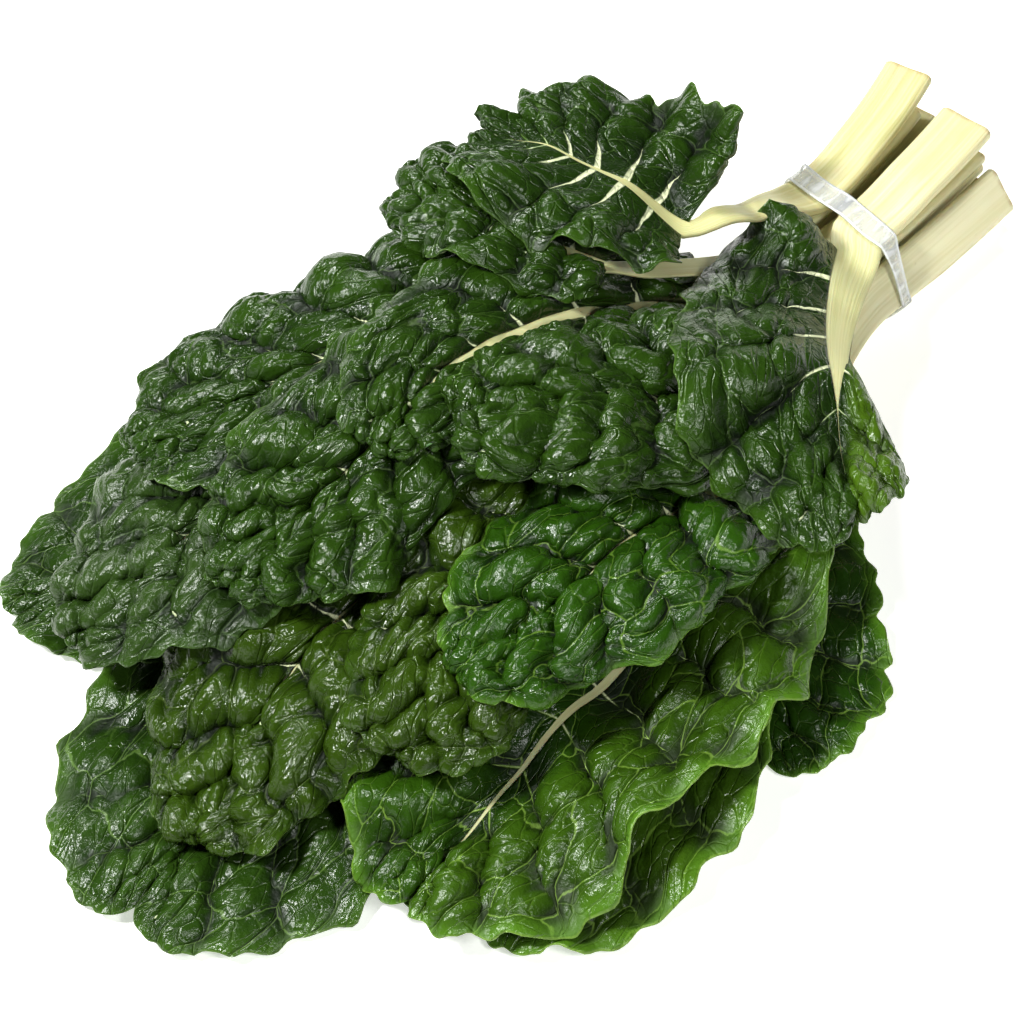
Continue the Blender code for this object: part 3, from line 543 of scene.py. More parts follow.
    def field_count(self, side, p, q):
        """How many side veins lie below this place; finely made veins wander off their lines."""
        count = p * LATERALS
        if self.fine:
            bow = 0.24 * wave(q, 0.65, self.waves[(side > 0).astype(int), 1])
            bow = bow + 0.13 * wave(q, 2.1, 1.7 * count)
            count = count + SWAY * bow * smooth_step(q / 0.5) * smooth_step(p / 0.1) * (1 - p**8)
        return count

    def _bent(self, side, p, q):
        along, inner, rest = self.flat(side, p, q)
        share = np.where(side > 0, *(np.interp(p, np.linspace(0, 1, ROWS), c) for c in self.curl[::-1]))
        out, up, slope = self._cross(along, rest, side, share)
        lift = self.relief(side, p, q)
        out, up = inner + out - np.sin(slope) * lift, up + np.cos(slope) * lift
        turned, normal = self._frame(along)
        return along, turned * (side * out)[..., None] + normal * up[..., None]

    def _set_heights(self):
        """The spine's own height, and the lift that lays the whole leaf on the pile."""
        leaf, pile = self.leaf, self.pile
        held = leaf.slot[1] + STALK_UNDER * leaf.stalk[1]
        spread = (leaf.slot[1] - FLOOR_GAP) * STUB_SPREAD - leaf.slot[1]
        under = leaf.slot[1] + spread * smooth_step((self.band_s - 0.008 - self.s) / 0.024)
        blanket = read(pile.blanket(), self.x, self.y) + leaf.perch
        start = leaf.hold or np.interp(0.0, self.s, blanket)
        gone = np.clip((self.s - self.band_s) / -self.band_s, 0.0, 1.0)
        free = held + (start - held) * smooth_step(gone)
        behind = under + STALK_UNDER * self.stalk_thickness(self.s)
        ahead = start + (blanket - start) * leaf.follow * smooth_step(self.s / 0.03) + self.bump
        lies = smooth_step(self.s / (0.09 if leaf.hold else 0.03))
        ahead = ahead + (smooth_max(ahead, blanket, 0.003) - ahead) * lies
        self.z = np.select([self.s < self.band_s, self.s < 0], [behind, free], ahead)
        self.z = np.maximum(self.z, STALK_UNDER * self.stalk_thickness(self.s))
        self._uncurl()
        self._lay_down()

    def _uncurl(self):
        """Lets each part of both margins hang down only as far as there is room for it."""
        trials = np.linspace(1.0, 0.0, 9)
        best = np.zeros((2, ROWS))
        for share in trials[::-1]:
            self.curl = np.full((2, ROWS), share)
            side, p, q = cage(ROWS, COLUMNS * 4)
            over = self.pile.clearance(self.loose_blade(side, p, q)) - CLEAR
            fits = np.min(over, axis=2) > -HANG
            best = np.where(fits, share, best)
        padded = np.pad(best, ((0, 0), (1, 1)), mode="edge")
        least = np.min([np.roll(padded, k, 1) for k in (-1, 0, 1)], axis=0)
        least = np.sum([np.roll(least, k, 1) for k in (-1, 0, 1)], axis=0)[:, 1:-1] / 3
        self.curl = least

    def _lay_down(self):
        """Raises the leaf wherever it would cut into the pile."""
        pile = self.pile
        blade = refined(self.loose_blade(*cage()))
        s = np.arange(self.band_s + 0.012, self.midrib_s, self.STEP)
        stalk = self.loose_stalk(s)
        room = STALK_ROOM * smooth_step((s - self.band_s - 0.012) / 0.05)[:, None]
        needs = (
            widened(pile.need(blade, CLEAR), PIECES // 3, (1, 2)),
            widened(pile.need(stalk, room), round(STATION / self.STEP / 2), (0,)),
        )
        lift = pile.lift((blade, stalk), needs)
        x = GRID_LOW[0] + CELL * np.arange(lift.shape[0])[:, None]
        self.lift = lift * smooth_step((BAND_X - 0.012 - x) / 0.03)

    def _raised(self, points):
        points[..., 2] += read(self.lift, points[..., 0], points[..., 1], evenly=self.fine)
        return points

    def loose_blade(self, side, p, q):
        """Points of the blade's middle surface, before the pile has sunk under its weight."""
        along, offset = self._bent(side, p, q)
        middle = np.stack([np.interp(along, self.s, v) for v in (self.x, self.y, self.z)], axis=-1)
        return self._raised(middle + offset)

    def blade(self, side, p, q):
        """Points of the blade's middle surface, which is flattened where it presses on the table."""
        points = sunk(self.loose_blade(side, p, q))
        points[..., 2] = np.maximum(points[..., 2], SHEET / 2)
        return points

    def stalk(self, s, section=STALK_SECTION):
        """Rings of points round the stalk at the distances s."""
        return sunk(self.loose_stalk(s, section))

    def loose_stalk(self, s, section=STALK_SECTION):
        turned, normal = self._frame(s)
        middle = np.stack([np.interp(s, self.s, v) for v in (self.x, self.y, self.z)], axis=-1)
        half, thick = self.stalk_half_width(s), self.stalk_thickness(s)
        rings = [middle + turned * (a * half)[:, None] + normal * (b * thick)[:, None] for a, b in section]
        return self._raised(np.stack(rings, axis=1))


def layout_stations(shape):
    """Distances along the spine at which the plain solid of the stalk has a ring."""
    stub = (shape.cut_s, shape.cut_s + 0.024, shape.band_s - 0.006, shape.band_s + 0.006)
    free = np.linspace(shape.band_s + 0.006, 0.0, 2 + int(-shape.band_s / STATION))[1:]
    return np.concatenate([stub, free])


def hull(points):
    """Corners of the convex outline round plane points, anticlockwise."""
    points = sorted(set(map(tuple, np.round(points, 5))))

    def half(ordered):
        chain = []
        for point in ordered:
            while len(chain) > 1:
                (ax, ay), (bx, by) = chain[-2], chain[-1]
                if (bx - ax) * (point[1] - ay) - (by - ay) * (point[0] - ax) > 0:
                    break
                chain.pop()
            chain.append(point)
        return chain[:-1]

    return np.array(half(points) + half(reversed(points)))


def grown(outline, by, corners):
    """A rounded outline that keeps the distance from a convex one, evenly divided."""
    angles = np.linspace(0, 2 * math.pi, 24, endpoint=False)
    circle = by * np.stack([np.cos(angles), np.sin(angles)], axis=1)
    ring = hull((outline[:, None] + circle[None]).reshape(-1, 2))
    ring = np.vstack([ring, ring[:1]])
    run = run_of(ring)
    at = np.linspace(0.0, run[-1], corners, endpoint=False)
    return np.stack([np.interp(at, run, ring[:, k]) for k in (0, 1)], axis=1)


# ---------------------------------------------------------------- fine modelling sizes

SWAY = 0.5  # how strongly the side veins wander
RIDGE_SHARE = 1.35  # height of the fine ridges, as a share of the layout's
FAINT_SINK = 0.0035  # how far a half drops out of sight where it has next to no reach
FINE_LEAST = 0.02  # share of its reach that a finely made half has before it begins
RIB_ENDS = 1 - 1 / 32  # row of the blade at which the fine midrib has run out
FINE_ROWS, FINE_COLUMNS = 16 * LATERALS + 1, 49
STALK_STEP = 0.0026  # spacing of the stalk's rings
STALK_CORNERS = 36
STEM_EDGE, STEM_RIBS = -0.28, 7  # height of the stalk's edges, in thicknesses, and ribs underneath
CUT_ROUNDING = 0.0006, 0.93  # length over which the cut end is rounded, and by which share
BAND_CORNERS = 144
BAND_PINCH, PINCHED_AT = 0.5, -150.0  # share by which the band narrows, and where round the stalks
PUFF_LENGTH = 0.0150  # length of a puff; there is one across each field between two side veins
SEED_STEP = 40.0  # how many puffs apart the patterns of two leaves are
VEIN_TRIM = 0.0002  # half-width at which a white vein gives out
# the smoothed blade also sets where the folds get their painted shade
SMOOTHING = 40  # rounds by which the blade is smoothed to tell its folds from its puffs
PRESS_SLOPE = 2.2  # how steeply a leaf is pressed down beside a leaf that lies on it
PRESS_REACH = 4  # cells over which it is pressed down there
PRESS_GIVE, PRESS_FADE = 0.0005, 0.002  # relief left in what is pressed down, and how fast it fades
OPEN_SKY = 1.0  # a height over everything


@lru_cache(maxsize=None)
def bunch():
    """All leaves, from the lowest to the topmost, with the outline that the band goes round."""
    pile = Pile()
    shapes = []
    for leaf in LEAVES:
        shape = Shape(leaf, pile)
        pile.add(refined(shape.loose_blade(*cage())) + (0.0, 0.0, SHEET / 2))
        pile.add(shape.loose_stalk(np.arange(shape.cut_s, shape.midrib_s, Shape.STEP)))
        shapes.append(shape)
    held = []
    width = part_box("band")[1].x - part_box("band")[0].x
    for shape in shapes:
        rings = shape.stalk(layout_stations(shape))
        for edge in (BAND_X - width / 2, BAND_X + width / 2):
            for line in rings.transpose(1, 0, 2):
                held.append([np.interp(-edge, -line[:, 0], line[:, k]) for k in (1, 2)])
    for shape in shapes:
        shape.fine = True
    return shapes, hull(held)


@lru_cache(maxsize=None)
def shift():
    """From the layout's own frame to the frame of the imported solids, which the band gives."""
    low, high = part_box("band")
    outline = bunch()[1]
    middle = (outline.min(axis=0) + outline.max(axis=0)) / 2
    return np.array([(low.x + high.x) / 2 - BAND_X, (low.y + high.y) / 2 - middle[0], 0.0])


# ---------------------------------------------------------------- node trees


class Wire:
    """A value on its way through a node tree; sums and products of it add Math nodes."""

    def __init__(self, graph, socket):
        self.graph, self.socket = graph, socket

    def math(self, operation, *values, **settings):
        return self.graph.node("ShaderNodeMath", dict(enumerate(values)), operation=operation, **settings)

    def __add__(self, other):
        return self.math("ADD", self, other)

    def __sub__(self, other):
        return self.math("SUBTRACT", self, other)

    def __rsub__(self, other):
        return self.math("SUBTRACT", other, self)

    def __mul__(self, other):
        return self.math("MULTIPLY", self, other)

    def __truediv__(self, other):
        return self.math("DIVIDE", self, other)

    __radd__, __rmul__ = __add__, __mul__

    def clamped(self):
        return self.math("ADD", self, 0.0, use_clamp=True)

    def rising(self, low, high, shape="SMOOTHSTEP"):
        """0 at low and 1 at high, with a curve of this shape between; low may be the larger."""
        return self.graph.node("ShaderNodeMapRange", {"Value": self, "From Min": low, "From Max": high},
                               interpolation_type=shape)


class Graph:
    """A node tree under construction."""

    def __init__(self, tree):
        self.tree = tree

    def node(self, kind, values=None, out=0, **settings):
        """The output of a new node, after its settings and then its inputs are set."""
        made = self.tree.nodes.new(kind)
        for setting, value in settings.items():
            setattr(made, setting, value)
        for key, value in (values or {}).items():
            self.feed(made.inputs[key], value)
        return Wire(self, made.outputs[out])

    def feed(self, socket, value):
        if isinstance(value, Wire):
            self.tree.links.new(value.socket, socket)
        else:
            socket.default_value = value

    def noise(self, at, scale, detail=3.0, roughness=0.55, out=0):
        return self.node("ShaderNodeTexNoise", {"Vector": at, "Scale": scale, "Detail": detail,
                                                "Roughness": roughness}, out=out)

    def cells(self, at, scale):
        """Distance to the nearest border between cells."""
        return self.node("ShaderNodeTexVoronoi", {"Vector": at, "Scale": scale, "Randomness": 1.0},
                         feature="DISTANCE_TO_EDGE", voronoi_dimensions="2D")


class Look(Graph):
    """One material, built from expressions."""

    def __init__(self, name):
        self.material = bpy.data.materials.new(name)
        self.material.use_nodes = True
        super().__init__(self.material.node_tree)
        self.shader = self.tree.nodes["Principled BSDF"]

    def attribute(self, name, out="Fac"):
        return self.node("ShaderNodeAttribute", out=out, attribute_name=name)

    def place(self):
        """Places in the piece's own coordinates."""
        return self.node("ShaderNodeTexCoord", out="Object")

    def blend(self, share, first, second):
        """The first colour where the share is 0 and the second where it is 1."""
        return self.node("ShaderNodeMix", {0: share, 6: first, 7: second}, out=2, data_type="RGBA")

    def streaks(self, at, scale, detail=3.0):
        """Noise that is drawn out along the piece: so many waves per metre along and across."""
        drawn = self.node("ShaderNodeVectorMath", {0: at, 1: (*scale, 1.0)}, operation="MULTIPLY")
        return self.noise(drawn, 1.0, detail)

    def bumped(self, height, distance):
        normal = self.node("ShaderNodeBump", {"Height": height, "Distance": distance, "Strength": 1.0})
        self.feed(self.shader.inputs["Normal"], normal)

    def finish(self, **inputs):
        """Feeds the shader's own sockets."""
        for name, value in inputs.items():
            self.feed(self.shader.inputs[name.replace("_", " ")], value)
        return self.material


def rgb(red, green, blue):
    return (red, green, blue, 1.0)


# ---------------------------------------------------------------- greens

# colour painted into the folds as shade, colour of the puffs and the veins, roughness, how bright the
# margin is and how plainly the small veins show
GREENS = {
    "deep": ((0.005, 0.016, 0.002), (0.022, 0.056, 0.004), (0.15, 0.26, 0.06), 0.20, 0.12, 0.22),
    "waxy": ((0.007, 0.019, 0.003), (0.028, 0.060, 0.009), (0.13, 0.22, 0.07), 0.26, 0.10, 0.25),
    "olive": ((0.006, 0.018, 0.001), (0.031, 0.064, 0.004), (0.16, 0.24, 0.05), 0.18, 0.12, 0.18),
    "bright": ((0.005, 0.022, 0.001), (0.022, 0.070, 0.003), (0.20, 0.34, 0.05), 0.23, 0.50, 0.40),
    "young": ((0.005, 0.021, 0.001), (0.022, 0.069, 0.003), (0.22, 0.36, 0.06), 0.24, 0.60, 0.50),
    "flat": ((0.009, 0.028, 0.002), (0.027, 0.066, 0.006), (0.18, 0.30, 0.07), 0.22, 0.20, 0.35),
}
# near-black painted shade for the deepest folds
PAINTED_FOLD_SHADE = rgb(0.002, 0.006, 0.001)
FINE_NET = 2.6  # small veins to one puff
YOUNG_EDGE = rgb(0.11, 0.25, 0.020)
VEIN_WHITE = rgb(0.62, 0.66, 0.42)
FADED = rgb(0.30, 0.30, 0.03)
STALK_OLIVE, STALK_GREEN = rgb(0.40, 0.40, 0.14), rgb(0.42, 0.45, 0.19)
STALK_SPECK, STALK_CUT = rgb(0.26, 0.22, 0.07), rgb(0.42, 0.28, 0.12)


def blade_look(kind, settings):
    """The upper side of a blade: painted shade darkens its folds and the puffs are painted lighter, with a
    broken shine.
    """
    *colours, roughness, margin, netted = GREENS[kind]
    deep, raised, vein = (rgb(*colour) for colour in colours)
    look = Look("blade_" + kind)
    at = look.attribute("leaf_at", "Vector")
    place = look.place()
    across = look.attribute("margin")
    to_vein = look.attribute("to_vein")
    # how far each place stands over the smoothed blade, which sets the painted shade of the folds
    height = look.attribute("raised")
    white = look.attribute("white")

    # painted shade: dark in the folds and lighter on the puffs, with random patches; yellow where it is
    # young, weaker in the folds
    patches = look.noise(place, 42.0, 4.0)
    colour = look.blend((height.rising(-0.9, 1.3) * 0.9 + patches * 0.6 - 0.25).clamped(), deep, raised)
    mottle = look.noise(place, 420.0, 5.0, 0.65)
    colour = look.blend(mottle.rising(0.50, 0.75) * 0.45, colour, raised)
    # painted shade: the deepest folds are blended towards near-black
    folds = height.rising(0.15, -0.9)
    colour = look.blend(folds * settings.shade, colour, PAINTED_FOLD_SHADE)
    youth = look.attribute("youth") * (height.rising(-1.2, 1.0) * 0.7 + 0.3)
    colour = look.blend(youth, colour, settings.young)

    # the net of small veins, the side veins, the margin and a few faded spots
    net, fine_net = look.cells(at, 1.0), look.cells(at, FINE_NET)
    threads = net.rising(0.022, 0.006) + fine_net.rising(0.035, 0.008) * 0.3
    colour = look.blend((threads * netted).clamped(), colour, vein)
    thin = to_vein.rising(0.00085, 0.00025) * across.rising(1.05, 0.55)
    colour = look.blend(thin * (0.25 + netted), colour, vein)
    edge = across.rising(0.86, 1.0) * margin
    colour = look.blend(edge, colour, YOUNG_EDGE)
    rim = across.rising(0.985, 0.997) * (0.25 + margin * 0.6)
    colour = look.blend(rim, colour, vein)
    ragged = look.noise(place, 500.0, 3.0) - 0.5
    broad = (to_vein - white + ragged * 0.0007).rising(0.0003, -0.0003)
    colour = look.blend(broad, colour, VEIN_WHITE)
    spots = look.noise(at, 0.37, 2.0).rising(0.70, 0.78) * across.rising(0.8, 1.0)
    colour = look.blend(spots * 0.7, colour, FADED)

    # a shine that the finest creases break up
    sheen = look.noise(place, 150.0, 3.0)
    rough = roughness + (sheen - 0.5) * 0.22 + broad * 0.20 + folds * 0.45
    creases = net.rising(0.0, 0.10) * 0.5 + fine_net.rising(0.0, 0.09) * 0.34
    grain = look.noise(place, 250.0, 4.0, 0.55) * 1.3 + look.noise(place, 1600.0, 3.0) * 0.10
    look.bumped(creases + grain + to_vein.rising(0.0, 0.0012) * 0.4, settings.crease_depth)
    return look.finish(Base_Color=colour, Roughness=rough.clamped(), Specular_IOR_Level=settings.gloss)


def underside_look(settings):
    """The lower side of a blade: paler, matt, with its veins standing out."""
    look = Look("blade_underside")
    at = look.attribute("leaf_at", "Vector")
    to_vein = look.attribute("to_vein")
    net, fine_net = look.cells(at, 1.0), look.cells(at, FINE_NET)
    colour = look.blend(look.noise(at, 1.5), rgb(0.060, 0.135, 0.045), rgb(0.105, 0.200, 0.075))
    threads = net.rising(0.06, 0.01) * 0.5 + fine_net.rising(0.06, 0.01) * 0.2
    colour = look.blend(threads.clamped(), colour, rgb(0.26, 0.36, 0.17))
    colour = look.blend(to_vein.rising(0.0016, 0.0008), colour, rgb(0.50, 0.56, 0.34))
    raised = net.rising(0.09, 0.0) * 0.6 + to_vein.rising(0.002, 0.0)
    look.bumped(raised, settings.crease_depth)
    return look.finish(Base_Color=colour, Roughness=0.55, Specular_IOR_Level=0.3)


def stalk_look(settings):
    """Creamy stalks with fine lengthwise streaks, greener by the blade, browned at the cut."""
    look = Look("stalk_cream")
    at = look.attribute("stalk_at", "Vector")
    leafward = look.attribute("leafward")
    from_cut = look.attribute("from_cut")
    # each stalk's own paleness; on leaf_09 it is raised as painted light against the shade that stalk lies in
    pale = look.attribute("pale")
    streaks = look.streaks(at, (9.0, 900.0), 4.0)
    broad = look.streaks(at, (14.0, 160.0))
    paler = (streaks.rising(0.35, 0.7) * 0.5 + pale * 0.75 - 0.1).clamped()
    colour = look.blend(paler, settings.cream, settings.pale)
    colour = look.blend(broad.rising(0.50, 0.72) * (0.65 - pale * 0.5), colour, STALK_OLIVE)
    colour = look.blend(leafward * 0.45, colour, STALK_GREEN)
    specks = look.streaks(at, (130.0, 420.0), 2.0)
    colour = look.blend(specks.rising(0.72, 0.80) * 0.55, colour, STALK_SPECK)
    brown = from_cut.rising(0.0022, 0.0002) * look.noise(at, 300.0, 2.0).rising(0.35, 0.65)
    colour = look.blend(brown * 0.6, colour, STALK_CUT)
    pores = look.streaks(at, (40.0, 1500.0))
    look.bumped(streaks * 0.6 + pores * 0.4, settings.streak_depth)
    return look.finish(Base_Color=colour, Roughness=(0.40 + broad * 0.16).clamped(), Specular_IOR_Level=0.45,
                       Subsurface_Weight=0.12, Subsurface_Scale=0.004)


def band_look(settings):
    """Clear, slightly milky film, denser along its edges and where it is creased."""
    look = Look("band_clear")
    at = look.attribute("band_at", "Vector")
    to_edge = look.attribute("to_edge")
    wrinkles = look.streaks(at, (260.0, 900.0))
    folds = look.streaks(at, (90.0, 260.0), 2.0)
    milk = 0.30 + to_edge.rising(0.0012, 0.0) * 0.5 + folds.rising(0.5, 0.7) * 0.35
    look.bumped(wrinkles * 0.5 + folds, settings.wrinkle_depth)
    return look.finish(Base_Color=settings.film, Alpha=milk.clamped(), Roughness=0.12,
                       Specular_IOR_Level=0.8)


FLOOR_GLOW = 0.55


def floor_look():
    """A pale, matt ground that glows a little, so that it stays even."""
    look = Look("floor_pale")
    cloud = look.noise(look.place(), 3.0, 2.0)
    colour = look.blend(cloud, rgb(0.86, 0.86, 0.84), rgb(0.89, 0.89, 0.87))
    return look.finish(Base_Color=colour, Roughness=0.85, Specular_IOR_Level=0.2,
                       Emission_Color=rgb(1.0, 1.0, 0.98), Emission_Strength=FLOOR_GLOW)


# ---------------------------------------------------------------- meshes


def mesh_of(name, points, faces, attributes):
    """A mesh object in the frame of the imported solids, with its attributes at its points."""
    mesh = bpy.data.meshes.new(name)
    mesh.from_pydata((points + shift()).tolist(), [], [list(face) for face in faces])
    for key, values in attributes.items():
        vector = values.ndim == 2
        kept = mesh.attributes.new(key, "FLOAT_VECTOR" if vector else "FLOAT", "POINT")
        kept.data.foreach_set("vector" if vector else "value", values.astype(np.float32).ravel())
    mesh.shade_smooth()
    made = bpy.data.objects.new(name, mesh)
    bpy.context.scene.collection.objects.link(made)
    return made


def made_plain(made):
    """Applies the object's modifiers, and gives its new mesh."""
    bpy.context.view_layer.update()
    graph = bpy.context.evaluated_depsgraph_get()
    old = made.data
    fresh = bpy.data.meshes.new_from_object(made.evaluated_get(graph), depsgraph=graph)
    made.modifiers.clear()
    made.data = fresh
    bpy.data.meshes.remove(old)
    fresh.name = made.name
    return fresh


def finished(made, node, slot, *materials):
    """The piece with these materials added; it stands for the node and rides with the bunch."""
    for material in materials:
        made.data.materials.append(material)
    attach(made, BODY)
    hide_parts(node)
    return made


def grid_faces(index, outward):
    """Quads over a grid of point numbers, wound one way or the other."""
    a, b = index[:-1, :-1], index[1:, :-1]
    c, d = index[1:, 1:], index[:-1, 1:]
    ring = (a, b, c, d) if outward else (d, c, b, a)
    return np.stack(ring, axis=-1).reshape(-1, 4)


def closed(index, axis):
    """The grid of point numbers with its first line repeated after the last."""
    return np.concatenate([index, np.take(index, [0], axis)], axis)


def evened(points):
    """The grid of points with the smallest kinks rounded off, its border kept."""
    for axis in (1, 2):
        count = points.shape[axis]
        before, inner, after = (np.take(points, range(k, count - 2 + k), axis) for k in (0, 1, 2))
        first, last = (np.take(points, [k], axis) for k in (0, count - 1))
        points = np.concatenate([first, 0.5 * inner + 0.25 * before + 0.25 * after, last], axis)
    return points


def blade_sheet(shape):
    """The blade as one open sheet; its halves part only where the midrib shows between them."""
    side, p, q = cage(FINE_ROWS, FINE_COLUMNS)
    q = q**1.04
    points = evened(shape.blade(side, p, q))
    leaf = shape.leaf
    index = np.arange(side.size).reshape(side.shape)
    joined = p[0, :, 0] >= RIB_ENDS
    middle = 0.5 * (points[0, joined, 0] + points[1, joined, 0])
    points[0, joined, 0] = points[1, joined, 0] = middle
    index[1, joined, 0] = index[0, joined, 0]
    index[1, -1, :] = index[0, -1, :]
    faces = np.concatenate([grid_faces(index[k], outward=k == 0) for k in (0, 1)])

    count = shape.field_count(side, p, q)
    whole_reach = shape.reach(side, p)
    reach = whole_reach * q
    spacing = np.linalg.norm(np.gradient(points, 1 / (FINE_ROWS - 1), axis=1), axis=-1) / LATERALS
    fields = np.abs(count - np.round(count))
    wander = 0.16 * np.sin(reach / 0.006 + leaf.seed) + 0.10 * np.sin(reach / 0.0035 + 2 * count)
    drift = 0.12 * np.sin(2.3 * count + side) + 0.08 * np.sin(5.1 * count + leaf.seed)
    lanes = count + wander * smooth_step(fields / 0.2) + SEED_STEP * leaf.seed
    places = side * (reach / PUFF_LENGTH + drift + 3.0)
    calm = smooth_step(q / (0.10 + leaf.plain)) * smooth_step(whole_reach / 0.025)
    calm = calm * (1 - 0.55 * smooth_step((q - 0.8) / 0.2)) * smooth_step((1.02 - p) / 0.12)
    white = leaf.white * np.clip(1 - q / 0.9, 0, 1) * smooth_step((0.80 - p) / 0.5)
    white = white * (count > 0.5) - VEIN_TRIM
    values = {
        "leaf_at": np.stack([lanes, places, np.zeros_like(q)], axis=-1), "margin": q,
        "to_vein": fields * spacing, "calm": calm, "white": white,
        "youth": np.where(side > 0, *leaf.youth) * smooth_step(q / 0.4),
    }
    keep, numbers = np.unique(faces, return_inverse=True)

    def kept(values):
        return values.reshape(side.size, -1)[keep].squeeze()

    attributes = {key: kept(value) for key, value in values.items()}
    return mesh_of(leaf.name + "_green", kept(points), numbers.reshape(-1, 4), attributes)


class Tree(Graph):
    """A geometry tree, with named inputs."""

    def __init__(self, name, inputs):
        super().__init__(bpy.data.node_groups.new(name, "GeometryNodeTree"))
        face = self.tree.interface
        face.new_socket("Geometry", in_out="OUTPUT", socket_type="NodeSocketGeometry")
        face.new_socket("Geometry", in_out="INPUT", socket_type="NodeSocketGeometry")
        for label, value in inputs.items():
            kind = "NodeSocketMaterial" if value is None else "NodeSocketFloat"
            made = face.new_socket(label, in_out="INPUT", socket_type=kind)
            if value is not None:
                made.default_value = value
        given = self.tree.nodes.new("NodeGroupInput").outputs
        self.given = {socket.name: Wire(self, socket) for socket in given}
        self.result = self.tree.nodes.new("NodeGroupOutput").inputs[0]

    def vector(self, operation, values, out=0):
        return self.node("ShaderNodeVectorMath", values, out, operation=operation)

    def keep(self, geometry, name, value, kind="FLOAT"):
        """The geometry with this value kept at its points."""
        return self.node("GeometryNodeStoreNamedAttribute",
                         {"Geometry": geometry, "Name": name, "Value": value}, data_type=kind)

    def named(self, name, kind="FLOAT"):
        return self.node("GeometryNodeInputNamedAttribute", {"Name": name}, data_type=kind)


@lru_cache(maxsize=None)
def puffed_tree():
    """Raises the cells between the small veins of a blade into puffs, each with its crinkles.

    It also notes how far each place stands over the smoothed blade, from which the painted shade
    of the folds is taken.
    """
    tree = Tree("Puffed blade", {
        "Puff height": 0.002, "Crinkle height": 0.0005, "Swell": 0.0015, "Warp": 0.5,
        "Fold depth": 0.0020, "Material": None,
    })
    given = tree.given
    at = tree.named("leaf_at", "FLOAT_VECTOR")
    drift = tree.noise(at, 1.1, 2.0, 0.5, out=1)
    drift = tree.vector("SUBTRACT", {0: drift, 1: (0.5, 0.5, 0.5)})
    at = tree.vector("ADD", {0: at, 1: tree.vector("SCALE", {0: drift, "Scale": given["Warp"]})})

    def dome(scale, full):
        """A rounded rise over each cell, at its full height this far from the cell's border."""
        share = tree.cells(at, scale).rising(0.0, full, "LINEAR")
        return share * (2.0 - share)

    def swell(scale, detail):
        return tree.noise(at, scale, detail, 0.5) - 0.5

    height = dome(1.0, 0.42) * given["Puff height"] * (swell(0.9, 1.0) * 2.2 + 1.0)
    height = dome(2.3, 0.34) * given["Crinkle height"] + height
    height = (swell(0.8, 3.0) * given["Swell"] + height) * tree.named("calm")
    normal = tree.node("GeometryNodeInputNormal")
    offset = tree.vector("SCALE", {0: normal, "Scale": height})
    moved = tree.node("GeometryNodeSetPosition", {"Geometry": given["Geometry"], "Offset": offset})

    place = tree.node("GeometryNodeInputPosition")
    smoothed = tree.node("GeometryNodeBlurAttribute", {"Value": place, "Iterations": SMOOTHING},
                         data_type="FLOAT_VECTOR")
    over = tree.vector("DOT_PRODUCT", {0: tree.vector("SUBTRACT", {0: place, 1: smoothed}), 1: normal}, out=1)
    # the height over the smoothed blade is kept as raised, for the painted shade of the folds
    kept = tree.keep(moved, "raised", over / given["Fold depth"])
    kept = tree.keep(kept, "leaf_at", at, "FLOAT_VECTOR")
    whole = tree.node("GeometryNodeRealizeInstances", {"Geometry": kept})
    coloured = tree.node("GeometryNodeSetMaterial", {"Geometry": whole, "Material": given["Material"]})
    tree.feed(tree.result, coloured)
    return tree.tree


def add_tree(made, group, **values):
    """Puts the tree on the object with these inputs."""
    modifier = made.modifiers.new(group.name, "NODES")
    modifier.node_group = group
    for item in group.interface.items_tree:
        key = item.name.lower().replace(" ", "_")
        if key in values:
            modifier[item.identifier] = values[key]


class Ceiling:
    """The underside of everything that lies higher."""

    def __init__(self):
        self.under = grid_of(OPEN_SKY)

    def add(self, points, below):
        np.minimum.at(self.under, cells_of(points, self.under), points[:, 2] - below)

    def press(self, points, room):
        """The points, held down under what lies on them."""
        limit = self.under
        for _ in range(PRESS_REACH):
            for axis in (0, 1):
                for step in (-1, 1):
                    limit = np.minimum(limit, np.roll(limit, step, axis) + PRESS_SLOPE * CELL)
        limit = read(limit, points[:, 0], points[:, 1]) - room
        over = points[:, 2] - limit
        held = limit - PRESS_GIVE * np.exp(-np.clip(over, 0, 1) / PRESS_FADE)
        points[:, 2] = np.where(over > -2 * PRESS_GIVE, held, points[:, 2])
        points[:, 2] = np.maximum(points[:, 2], SHEET / 2)
        return points


def make_blade(shape, ceiling, looks, settings):
    """One blade: its sheet puffed up, held down under the leaves on it, and given its thickness."""
    leaf = shape.leaf
    made = blade_sheet(shape)
    add_tree(made, puffed_tree(), puff_height=settings.puff_share * leaf.ridge,
             crinkle_height=settings.crinkle_share * leaf.ridge, swell=settings.swell_share * leaf.ridge,
             warp=settings.warp, material=looks[leaf.green])
    mesh = made_plain(made)
    points = np.empty(len(mesh.vertices) * 3, np.float32)
    mesh.vertices.foreach_get("co", points)
    points = ceiling.press(points.reshape(-1, 3).astype(float) - shift(), settings.room)
    mesh.vertices.foreach_set("co", (points + shift()).astype(np.float32).ravel())
    ceiling.add(points, settings.sheet / 2)
    mesh.materials.append(looks["underside"])
    walls = made.modifiers.new("Thickness", "SOLIDIFY")
    walls.thickness, walls.offset, walls.material_offset = settings.sheet, 0.0, 1
    made_plain(made).shade_smooth()
    return finished(made, leaf.name + "_blade", "leaf_blade")


